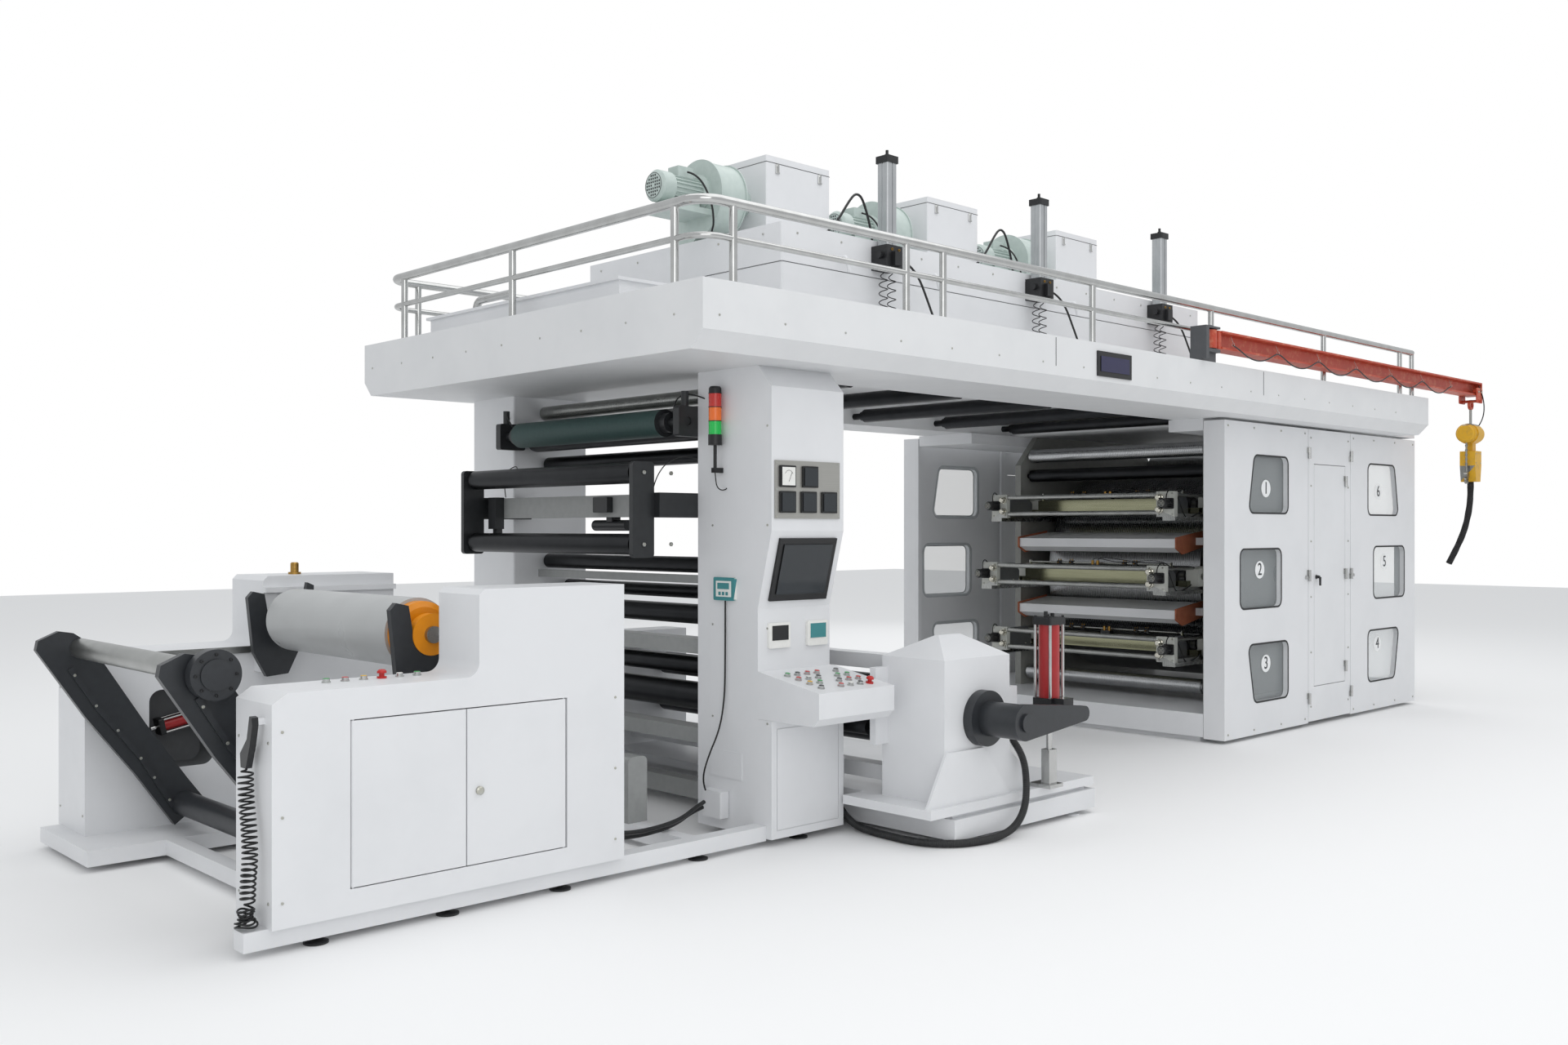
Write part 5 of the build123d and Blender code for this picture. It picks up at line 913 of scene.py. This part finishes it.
for number, x in enumerate((-5.42, -4.62, -3.14)):
    points = [(x, DRYER_NEAR, 3.16), (x, DRYER_NEAR - 0.035, 3.16), (x, DRYER_NEAR - 0.055, 3.15),
              (x + 0.01, DRYER_NEAR - 0.06, 3.10), (x + 0.02, DRYER_NEAR - 0.06, 3.07)]
    cord_curve(f"dryer_elbow_{number + 1}", points, 0.022, material=white_powder)


# Control tower
# A folded white cabinet and a far column in the same powder coat, with grey enamel beams between them and a
# white desk in front. Rubber, steel and brush rollers cross the tower, each with its own cover.
def roller_rubber(name, colour, second, rough):
    """Ground rubber roller cover: matt, faintly ringed by the grinding wheel."""
    return surface(name, colour, second, (18, 3.0), rough, relief=(0.08, 0.0004))


teal_rubber = roller_rubber("teal_roller_rubber", 0x27403E, 0x35524F, 0.55)
blue_brush = roller_rubber("blue_nylon_brush", 0x1F4E86, 0x173A66, 0.8)
beam_grey = grey_enamel("silver_grey_enamel", 0xA5A7A6, 0x939594, 0.4)
frame_black = grey_enamel("satin_black_enamel", 0x202224, 0x2C2E30, 0.38)
for node in ("control_cabinet", "control_desk", "tower_frames"):
    finish_node(node, white_powder)
finish_node("tower_beams", beam_grey)
NIP_AXIS = (-6.46, 2.17)
NIP_RADIUS = 0.070
NIP_HALF = 0.66


def nip_finish(middle, normal):
    """Black shaft ends, teal cover."""
    off = math.hypot(middle.x - NIP_AXIS[0], middle.z - NIP_AXIS[1])
    return int(off < NIP_RADIUS and abs(middle.y) > NIP_HALF)


finish_node("nip_roller", teal_rubber, frame_black, choose=nip_finish)
BRUSH_Z = 0.215
STEEL_IDLERS = (0.37, 2.33)


def idler_finish(middle, normal):
    """Blue brush low down, bright steel for two rollers, black anodised for the rest."""
    if math.hypot(middle.x + 6.80, middle.z - BRUSH_Z) < 0.062:
        return 1
    if any(abs(middle.z - z) < 0.078 and middle.x < -6.1 for z in STEEL_IDLERS):
        return 2
    return 0


finish_node("tower_idlers", roller_black, blue_brush, bar_steel, choose=idler_finish)


# Web guide
# A swinging guide frame in satin black enamel with bright cross beam, two edge sensors on brackets, and a small
# actuator that swings it.
GUIDE_SIDE = 0.846


def guide_finish(middle, normal):
    """The cross beam stands out from the black frame."""
    return int(-6.605 < middle.x < -6.475 and 1.66 < middle.z < 1.79 and abs(middle.y) < 0.80)


finish_node("web_guide_frame", frame_black, beam_grey, choose=guide_finish)
guide_places = [((x, side * GUIDE_SIDE, z), (0, side, 0))
                for side in (-1, 1) for x in (-6.72, -6.54) for z in (1.52, 1.893)]
screws("guide_frame_screws", guide_places, 0.012, 0.008)


# Instruments and screens
# Panel meters in black bezels on a brushed steel panel, one moving-coil meter with a white face, a slanted
# touch screen and two white instruments. Screens are dark glass without any picture; that on the bridge is
# blue-violet.
def plain_colour(name, colour, rough):
    """Moulded or painted surface in one colour, with a slightly darker cloud of 20 mm in it."""
    return surface(name, colour, None, (20, 2.0), rough, darker=0.88)


# Brushed stainless sheet: grain along X.
panel_steel = surface("brushed_steel_panel", 0xB9B8B3, 0xA2A19C, (1000 / 3, 4.0), 0.4, drawn=(3.0, 1.0, 320.0),
                      Metallic=0.8)
screen_glass = plain_colour("dark_screen_glass", 0x2A2F33, 0.08)
bezel_black = plain_colour("black_moulded_bezel", 0x17181A, 0.35)
meter_white = plain_colour("white_meter_face", 0xF0F0EC, 0.3)
instrument_teal = plain_colour("teal_instrument_front", 0x3F8C90, 0.3)
METER_FRONT = -1.4680
METER_GLASS = -1.4815
bridge_screen = plain_colour("blue_violet_screen", 0x23224A, 0.2)
WHITE_METER = (-6.290, 1.867)
TOWER_RIGHT = -4.0
BRIDGE_GLASS = -1.7185
METER_ROWS = (1.64, 1.96)
TOUCH_ROWS = (1.20, 1.60)
TOUCH_LEFT = -6.36
TOUCH_MIDDLE = (-6.125, 1.393)
TOUCH_HALF = (0.1745, 0.130)
WINDOW_ROWS = (1.029, 1.107)


def display_finish(middle, normal):
    """Bezels, dark glasses, the white meter and the instruments, told apart by where they are."""
    if middle.x > TOWER_RIGHT:
        return 5 if middle.y < BRIDGE_GLASS else 1
    if METER_ROWS[0] < middle.z < METER_ROWS[1]:
        if middle.y > METER_FRONT - 0.0015:
            return 0
        if middle.y < METER_GLASS and abs(normal.y) > 0.5:
            near_white = abs(middle.x - WHITE_METER[0]) < 0.056 and abs(middle.z - WHITE_METER[1]) < 0.056
            return 3 if near_white else 2
        return 1
    if TOUCH_ROWS[0] < middle.z < TOUCH_ROWS[1] and middle.x > TOUCH_LEFT:
        wide = abs(middle.x - TOUCH_MIDDLE[0]) < TOUCH_HALF[0]
        tall = abs(middle.z - TOUCH_MIDDLE[1]) < TOUCH_HALF[1]
        return 2 if wide and tall and abs(normal.x) < 0.1 else 1
    if middle.x < -6.40:
        return 4
    if not (WINDOW_ROWS[0] < middle.z < WINDOW_ROWS[1] and abs(normal.y) > 0.5 and middle.y < -1.375):
        return 3
    return 4 if middle.x > -6.1 else 1


finish_node("displays", panel_steel, bezel_black, screen_glass, meter_white, instrument_teal, bridge_screen,
            choose=display_finish)
needles = bmesh.new()
NEEDLE = ((-6.290, 1.840), (-6.268, 1.888), 0.0009)
SCALE_ARC = ((-6.318, 1.880), (-6.306, 1.893), (-6.290, 1.898), (-6.274, 1.893), (-6.262, 1.880))
for start, end, wire in [NEEDLE] + [(a, b, 0.0007) for a, b in zip(SCALE_ARC, SCALE_ARC[1:])]:
    y = METER_GLASS - 0.0015
    wire_rod(needles, (start[0], y, start[1]), (end[0], y, end[1]), wire, 5)
built_piece("meter_needle_and_scale", needles, "press", bezel_black)
SIDE_FACE = -6.4125
SIDE_WINDOWS = ((-1.120, 1.305, 0.090, 0.032), (-1.148, 1.266, 0.018, 0.018), (-1.120, 1.266, 0.018, 0.018),
                (-1.092, 1.266, 0.018, 0.018))
for name, x, parts, material in (
        ("side_instrument_face", SIDE_FACE, ((-1.120, 1.290, 0.118, 0.082),), meter_white),
        ("side_instrument_window_and_keys", SIDE_FACE - 0.0025, SIDE_WINDOWS, instrument_teal)):
    box_piece(name, [((x, y, z), (0.003, wide, tall)) for y, z, wide, tall in parts], material, 0.001)
panel_screws = [((x, METER_FRONT, z), (0, -1, 0)) for x in (-6.362, -5.916) for z in (1.663, 1.80, 1.937)]
screws("meter_panel_screws", panel_screws, 0.005, 0.003, 10)


# Push buttons
# Round buttons with chromed collars and coloured caps on the desk and on the unwinder's cabinet; each desk has
# one red mushroom stop button on a yellow collar.
cap_green = plain_colour("green_button_cap", 0x1F9A4A, 0.3)
cap_red = plain_colour("red_button_cap", 0xC3221F, 0.3)
cap_yellow = plain_colour("yellow_button_cap", 0xE3B21C, 0.3)
cap_black = plain_colour("black_button_cap", 0x202124, 0.3)
cap_white = plain_colour("white_button_cap", 0xECECE8, 0.3)
DESK_COLUMNS = (-6.300, -6.230, -6.160, -6.090, -6.020, -5.950)
DESK_ROWS = (-1.480, -1.560, -1.640, -1.720)
UNWINDER_BUTTONS = (-8.620, -8.540, -8.460, -8.380, -8.300, -8.220)
CAP_ORDER = (1, 2, 3, 4, 5, 1, 2, 4)
CAP_RADIUS = 0.0165


def button_finish(middle, normal):
    """Each cap takes its own colour by its place in the row; the collar stays chromed."""
    if middle.x > -7.0:
        spots = [(x, y, column * 3 + row)
                 for column, x in enumerate(DESK_COLUMNS) for row, y in enumerate(DESK_ROWS)]
        stop = (DESK_COLUMNS[-1], DESK_ROWS[-1])
    else:
        spots = [(x, -1.230, column) for column, x in enumerate(UNWINDER_BUTTONS)]
        stop = (-8.380, -1.230)
    x, y, number = min(spots, key=lambda spot: math.hypot(middle.x - spot[0], middle.y - spot[1]))
    away = math.hypot(middle.x - x, middle.y - y)
    if (x, y) == stop:
        return 2 if away > 0.0085 and away < 0.037 and normal.z > -0.3 or away < 0.037 else 3
    return CAP_ORDER[number % len(CAP_ORDER)] if away < CAP_RADIUS and normal.z > 0.5 else 0


finish_node("push_buttons", stainless, cap_green, cap_red, cap_yellow, cap_black, cap_white,
            choose=button_finish)


# Stack light
# Three clear-ribbed lenses in red, amber and green on a black base and a thin bent pole.
def lens(name, colour):
    """Tinted polycarbonate lens: glossy, ribbed, lit very faintly by its own lamp."""
    return surface(name, colour, rough=0.15, relief=(0.25, 0.0008), bands=("Z", 6, 0.0, 2.0), IOR=1.58,
                   Emission_Color=linear(colour), Emission_Strength=0.15)


LENS_LOW = 2.090
LENS_TALL = 0.072


def lamp_finish(middle, normal):
    level = int((middle.z - LENS_LOW) // LENS_TALL)
    between = (middle.z - LENS_LOW) % LENS_TALL > LENS_TALL - 0.0041
    return level + 1 if 0 <= level < 3 and not between and middle.z > LENS_LOW + 0.0005 else 0


finish_node("stack_light", bezel_black, lens("green_lens", 0x10B24A), lens("amber_lens", 0xE06A20),
                   lens("red_lens", 0xB5241C), choose=lamp_finish)
points = [(-6.435, -1.080, 1.902), (-6.435, -1.083, 1.860), (-6.430, -1.090, 1.815), (-6.412, -1.105, 1.800),
          (-6.393, -1.120, 1.806), (-6.390, -1.120, 1.812)]
cord_curve("stack_light_cable", points, 0.006)


# Tower sheets and cables
# Cap screws along the cabinet's side, short loose black cables from the sensors and the junction box, air lines
# of the nip roller, and two thick black hoses that lie along the floor rail.
tower_screws = [((-6.39, y, z), (-1, 0, 0)) for y in (-1.43, -1.01) for z in (0.62, 1.10, 1.62, 2.12)]
screws("tower_side_screws", tower_screws, 0.006, 0.003, 10)
points = [(-6.47, -1.045, 0.245), (-6.50, -1.050, 0.30), (-6.48, -1.075, 0.42), (-6.42, -1.100, 0.56),
          (-6.401, -1.115, 0.72), (-6.400, -1.120, 0.90), (-6.400, -1.120, 1.228)]
cord_curve("junction_cable", points, 0.009)
for number, side in enumerate((-1, 1)):
    points = [(-6.56, side * 0.715, 1.792), (-6.56, side * 0.735, 1.86), (-6.52, side * 0.775, 1.95),
              (-6.44, side * 0.80, 1.99), (-6.38, side * 0.86, 1.98), (-6.33, side * 0.96, 1.94)]
    cord_curve(f"sensor_cable_{number + 1}", points, 0.006)
    points = [(-6.46, side * 0.775, 2.21), (-6.49, side * 0.80, 2.27), (-6.46, side * 0.86, 2.32),
              (-6.40, side * 0.93, 2.30), (-6.36, side * 0.975, 2.27)]
    cord_curve(f"nip_air_line_{number + 1}", points, 0.008)
RAIL_ROUTE = ((-6.60, -1.075, 0.150), (-6.72, -1.12, 0.122), (-6.90, -1.18, 0.118), (-7.10, -1.21, 0.122),
              (-7.24, -1.22, 0.150), (-7.312, -1.225, 0.175))
for number, (rise, sway) in enumerate(((0.0, 0.0), (0.028, -0.035))):
    points = [(-6.508, -1.065 + sway / 3, 0.165 + rise)]
    points += [(x, y + sway, z + rise) for x, y, z in RAIL_ROUTE]
    cord_curve(f"floor_rail_hose_{number + 1}", points, 0.022)


# Unwinder cabinets
# Folded white cabinets on both sides of the roll; the near one has two leaves on pin hinges with a quarter-turn
# lock, the far one an open pocket, whose inside is darkened by a dark grey liner of painted shade, and a steel
# slide rail.
finish_node("unwinder_near_cabinet", white_powder)
finish_node("cabinet_door_left", white_powder)
finish_node("cabinet_door_right", white_powder, zinc, choose=lambda middle, normal: int(middle.y < -1.4601))
# Dark grey painted shade for the inside of the far cabinet's open pocket.
pocket_painted_shade = grey_enamel("pocket_painted_shade_enamel", 0x6C6E70, 0x5E6062, 0.5)
CABINET_TOP = 1.350
POCKET_NEAR = 0.7005
POCKET_FAR = 0.925


def far_cabinet_finish(middle, normal):
    in_pocket = -8.645 < middle.x < -8.315 and 0.385 < middle.z < 0.795
    # Faces inside the pocket take the painted shade.
    if in_pocket and POCKET_NEAR < middle.y < POCKET_FAR:
        return 1
    if middle.z > CABINET_TOP + 0.0005:
        return 3
    slide = -8.751 < middle.x < -8.099 and 0.9495 < middle.z < 0.9855 and middle.y < 0.6999
    return 2 if slide else 0


finish_node("unwinder_far_cabinet", white_powder, pocket_painted_shade, bar_steel, fitting_brass,
            choose=far_cabinet_finish)
cabinet_screws = [((x, -1.46, z), (0, -1, 0)) for x in (-8.90, -7.36) for z in (0.20, 0.52, 0.84)]
cabinet_screws += [((-8.94, y, z), (-1, 0, 0)) for y in (-1.43, -1.16, 0.73, 1.08) for z in (0.20, 0.80)]
screws("unwinder_cabinet_screws", cabinet_screws, 0.006, 0.003, 10)


# Pocket cylinder
# Pneumatic cylinder with a red barrel between black square caps, bright tie rods and a bright piston rod, held
# in the far cabinet's open pocket.
cylinder_red = grey_enamel("red_cylinder_enamel", 0xB0282A, 0x9A2124, 0.3)
TILT = math.radians(12)
PIVOT = (-8.472, 0.612)


def pocket_cylinder_finish(middle, normal):
    """Finds the place along the tilted barrel and its distance from the barrel's axis."""
    dx = middle.x - PIVOT[0]
    dz = middle.z - PIVOT[1]
    along = dx * math.cos(TILT) + dz * math.sin(TILT)
    up = dz * math.cos(TILT) - dx * math.sin(TILT)
    off = math.hypot(middle.y - 0.790, up)
    if abs(along) < 0.0741:
        return 0 if off < 0.0312 else 2
    return 2 if off < 0.0125 and along < -0.10 and along > -0.165 else 1


finish_node("arm_cylinder", cylinder_red, black_powder, stainless, choose=pocket_cylinder_finish)


# Loading arms and bar
# Flame-cut steel plates in charcoal enamel on a torsion shaft; the bar is bright steel between its collars,
# low-headed screws hold the ribs, and black ones the chuck's cap.
charcoal = grey_enamel("charcoal_enamel", 0x26282B, 0x313438, 0.36)
finish_node("loading_arms", charcoal)
finish_node("loading_bar", charcoal, bar_steel, choose=lambda middle, normal: int(-0.9685 < middle.y < 0.5595))
ARM_SHAFT_AXIS = (-8.52, 0.232)
LEAN = math.radians(31)


def arm_place(distance, across):
    """A point on an arm, from its distance along the lean and its offset, in X and Z."""
    return (ARM_SHAFT_AXIS[0] - distance * math.sin(LEAN) - across * math.cos(LEAN),
            ARM_SHAFT_AXIS[1] + distance * math.cos(LEAN) - across * math.sin(LEAN))


RIB_SCREWS = ((0.06, 0.050), (0.20, 0.050), (0.32, 0.052), (0.50, 0.067), (0.66, 0.085), (0.84, 0.088))
ARM_FACES = (-1.030, 0.550)
arm_places = []
for distance, across in RIB_SCREWS:
    x, z = arm_place(distance, across)
    arm_places += [((x, y, z), (0, -1, 0)) for y in ARM_FACES]
screws("arm_rib_screws", arm_places, 0.007, 0.003, 8, "loading_arm_set")
bar_x, bar_z = arm_place(0.935, 0.0)
CHUCK_FACE = -1.094
CHUCK_CIRCLE = 0.080
chuck_bolts = [((bar_x + CHUCK_CIRCLE * math.cos(angle), CHUCK_FACE, bar_z + CHUCK_CIRCLE * math.sin(angle)),
                (0, -1, 0)) for angle in circle(8)]
screws("chuck_cap_screws", chuck_bolts, 0.007, 0.006, 8, "loading_arm_set", material=black_powder)


# Forks and roll
# Charcoal plate forks with white brackets hold the roll's bearing drums. The roll is pale film wound on a
# steel shaft, with a disc and a bearing drum in orange enamel at its near end.
FORK_PLATES = ((-0.9605, -0.9245), (0.5595, 0.5955))


def fork_finish(middle, normal):
    """White brackets between the charcoal plates."""
    in_bracket = -8.1105 < middle.x < -8.0295 and 0.8495 < middle.z < 0.9405
    return int(in_bracket and not any(low < middle.y < high for low, high in FORK_PLATES))


finish_node("roll_forks", charcoal, white_powder, choose=fork_finish)
# Wound plastic film: pale, half gloss, its face clouded.
finish_node("material_roll", surface("wound_white_film", 0xB9BBBB, 0xACAEAE, (260, 3.0), gloss=(0.22, 0.4)))
disc_orange = grey_enamel("orange_disc_enamel", 0xF2980F, 0xE08B12, 0.35)
ROLL_AXIS = (-8.000, 1.130)
DISC_FAR_FACE = -0.829
SHAFT_RADIUS = 0.042


def shaft_finish(middle, normal):
    """The disc and the bearing drum stand out from the bare shaft at its near end."""
    off = math.hypot(middle.x - ROLL_AXIS[0], middle.z - ROLL_AXIS[1])
    return int(middle.y < DISC_FAR_FACE and off > SHAFT_RADIUS)


finish_node("roll_shaft", bar_steel, disc_orange, choose=shaft_finish)


# Blow gun
# Moulded black air gun with a short nozzle, hung by its loop on the cabinet's hook.
finish_node("blow_gun", plain_colour("black_moulded_body", 0x1B1C1E, 0.35))


# Rewinder pedestal
# Welded sheet steel pedestal with a faceted hood in white powder coat, a black bolted flange with a dark satin
# sleeve, and a red pneumatic cylinder at the lever's end, on its own rod and clevis.
finish_node("rewinder_base", white_powder)
finish_node("rewinder_stand", white_powder, frame_black, choose=lambda middle, normal: int(middle.y < -2.0565))
finish_node("rewinder_rollers", roller_black)
finish_node("rewinder_lever", charcoal)
BARREL_AXIS = (-4.93, -2.10)
BARREL_LOW = 0.690
BARREL_HIGH = 1.084


def barrel_finish(middle, normal):
    """Red barrel, bright tie rods, black caps."""
    if BARREL_LOW < middle.z < BARREL_HIGH:
        return 0 if math.hypot(middle.x - BARREL_AXIS[0], middle.y - BARREL_AXIS[1]) < 0.0575 else 2
    return 1


finish_node("rewinder_cylinder", cylinder_red, black_powder, stainless, choose=barrel_finish)
finish_node("rewinder_rod", stainless)
FLANGE_MIDDLE = (-5.30, -1.600, 0.74)
FLANGE_CIRCLE = 0.128
flange_bolts = [((FLANGE_MIDDLE[0] + FLANGE_CIRCLE * math.cos(angle), FLANGE_MIDDLE[1],
                  FLANGE_MIDDLE[2] + FLANGE_CIRCLE * math.sin(angle)), (0, 1, 0)) for angle in circle(12)]
screws("ring_flange_screws", flange_bolts, 0.008, 0.006, 8)


# Jib and hoist
# Hot rolled I beam in worn orange-red enamel on a grey bracket. The electric chain hoist is a yellow enamelled
# casting with a steel hook, hung by an orange-red eye from a trolley in the same enamel; its chain is steel.
def worn_enamel(name, colour, worn, rough):
    """Enamel on rolled steel with rubbed, paler places where the trolley and hands go."""
    return surface(name, colour, worn, (60, 6.0), rough, fade=(0.50, 0.70, 1.0), noise={"Roughness": 0.65})


beam_red = worn_enamel("worn_orange_red_enamel", 0xB8432B, 0xC9785A, 0.45)
hoist_yellow = worn_enamel("yellow_hoist_enamel", 0xD9A722, 0xC49A3A, 0.4)
chain_steel = turned_metal("bright_chain_steel", 0xAAAAA6, 0x8A8A86, 0.3, 4)
finish_node("jib_beam", beam_red)
finish_node("jib_bracket", cheek_grey)


EYE_LOW = 2.70
SHANK_LOW = 2.56
HOOK_HIGH = 2.16
HOOK_RIGHT = 2.29
CHAIN_X = 2.256
CHAIN_HALF = 0.012
CHAIN_HIGH = 2.41


def hoist_finish(middle, normal):
    """Yellow casting and container, orange-red trolley and eye, steel shank, chain and lower hook."""
    if middle.z > EYE_LOW:
        return 3
    if middle.z > SHANK_LOW or middle.z < HOOK_HIGH and middle.x < HOOK_RIGHT:
        return 2
    return 2 if abs(middle.x - CHAIN_X) < CHAIN_HALF and middle.z < CHAIN_HIGH else 0


finish_node("chain_hoist", hoist_yellow, black_powder, chain_steel, beam_red, choose=hoist_finish)


# Hoist cable
# Black rubber cable hung in loops from small wire hangers along the beam, so that it can follow the trolley;
# the last loop runs down to the hoist's motor. Links of 5.6 mm steel wire lie along the chain's line.
HANGERS = (-2.28, -1.62, -0.96, -0.30, 0.36, 1.02, 1.66)
BEAM_NEAR = -1.756
points = []
for a, b in zip(HANGERS, HANGERS[1:]):
    points += [(a, BEAM_NEAR - 0.010, 2.872), (a + 0.05, BEAM_NEAR - 0.012, 2.862),
               ((a + b) / 2 - 0.10, BEAM_NEAR - 0.016, 2.795), ((a + b) / 2 + 0.10, BEAM_NEAR - 0.016, 2.795),
               (b - 0.05, BEAM_NEAR - 0.012, 2.862)]
points.append((HANGERS[-1], BEAM_NEAR - 0.010, 2.872))
cord_curve("jib_festoon_cable", points, 0.010, "jib")
hangers = bmesh.new()
for x in HANGERS:
    wire_ring(hangers, (x, BEAM_NEAR - 0.010, 2.878), (1, 0, 0), 0.010, 0.0015, 16, 5)
    wire_rod(hangers, (x, BEAM_NEAR - 0.010, 2.888), (x, BEAM_NEAR + 0.008, 2.935), 0.0015, 5)
built_piece("jib_cable_hangers", hangers, "jib", zinc)
points = [(2.36, -1.757, 2.93), (2.40, -1.775, 2.86), (2.46, -1.775, 2.72), (2.485, -1.74, 2.60),
          (2.480, -1.70, 2.55)]
cord_curve("hoist_motor_cable", points, 0.010, "hoist")
HOIST_Y = -1.685
LINK_PITCH = 0.021
links = bmesh.new()
for k in range(12):
    z = 2.395 - LINK_PITCH * k
    way = (1, 0, 0) if k % 2 else (0, 1, 0)
    wire_ring(links, (CHAIN_X, HOIST_Y, z), way, 0.0105, 0.0028, 14, 6)
built_piece("hoist_chain_links", links, "hoist", chain_steel)
fins = bmesh.new()
for k in range(7):
    wire_ring(fins, (2.232 + 0.011 * k, HOIST_Y, 2.487), (1, 0, 0), 0.0835, 0.0026, 36, 6)
built_piece("hoist_motor_fins", fins, "hoist", hoist_yellow)
HOIST_X = 2.36
container_screws = [((HOIST_X + dx, HOIST_Y + side * 0.068, z), (0, side, 0))
                    for side in (-1, 1) for dx in (-0.055, 0.055) for z in (2.215, 2.30)]
screws("hoist_container_screws", container_screws, 0.006, 0.004, 8, "hoist")
trolley_nuts = [((HOIST_X + dx, HOIST_Y + side * 0.0815, 2.872), (0, side, 0))
                for side in (-1, 1) for dx in (-0.035, 0.035)]
screws("trolley_wheel_nuts", trolley_nuts, 0.010, 0.008, body="hoist")


# Ground and light
# A plain pale floor, a white background for the camera alone, one soft overhead sheet, a fill from the camera's
# side and a weak lamp from the far side.
floor_mesh = bpy.data.meshes.new("studio_floor")
FLOOR_REACH = 30.0
floor_corners = [(x * FLOOR_REACH, y * FLOOR_REACH, 0) for x, y in ((-1, -1), (1, -1), (1, 1), (-1, 1))]
floor_mesh.from_pydata(floor_corners, [], [(0, 1, 2, 3)])
studio_floor = bpy.data.objects.new("studio_floor", floor_mesh)
bpy.context.collection.objects.link(studio_floor)
floor_mesh.materials.append(surface("pale_floor", 0xF7F7F7, rough=0.8))
world = bpy.data.worlds.new("studio")
bpy.context.scene.world = world
world.use_nodes = True
sky_tree = world.node_tree
sky_tree.nodes.clear()
rays = add(sky_tree, "ShaderNodeLightPath")
plain = add(sky_tree, "ShaderNodeBackground", Color=linear(0xFFFFFF), Strength=1.0)
soft = add(sky_tree, "ShaderNodeBackground", Color=linear(0xF4F6F8), Strength=0.78)
seen = add(sky_tree, "ShaderNodeMath", {"Value": rays.outputs["Is Camera Ray"]}, operation="MAXIMUM")
sky_tree.links.new(rays.outputs["Is Transmission Ray"], seen.inputs[1])
blend = add(sky_tree, "ShaderNodeMixShader", {"Fac": seen.outputs["Value"]})
sky_tree.links.new(soft.outputs["Background"], blend.inputs[1])
sky_tree.links.new(plain.outputs["Background"], blend.inputs[2])
add(sky_tree, "ShaderNodeOutputWorld", {"Surface": blend.outputs["Shader"]})
LAMPS = (("overhead_sheet", (-3.0, -2.0, 9.5), (-3.0, 0.0, 1.0), 12.0, 420),
         ("camera_fill", (-12.0, -9.0, 5.0), (-5.0, 0.0, 1.4), 6.0, 150),
         ("far_rim", (6.0, 7.0, 6.0), (-2.0, 0.0, 1.5), 6.0, 90))
for name, place, aim, size, power in LAMPS:
    lamp_data = bpy.data.lights.new(name, "AREA")
    lamp_data.shape = "SQUARE"
    lamp_data.size = size
    lamp_data.energy = power
    lamp = bpy.data.objects.new(name, lamp_data)
    bpy.context.collection.objects.link(lamp)
    lamp.location = place
    lamp.rotation_euler = (Vector(aim) - Vector(place)).to_track_quat("-Z", "Y").to_euler()
bpy.context.scene.view_settings.view_transform = "Standard"
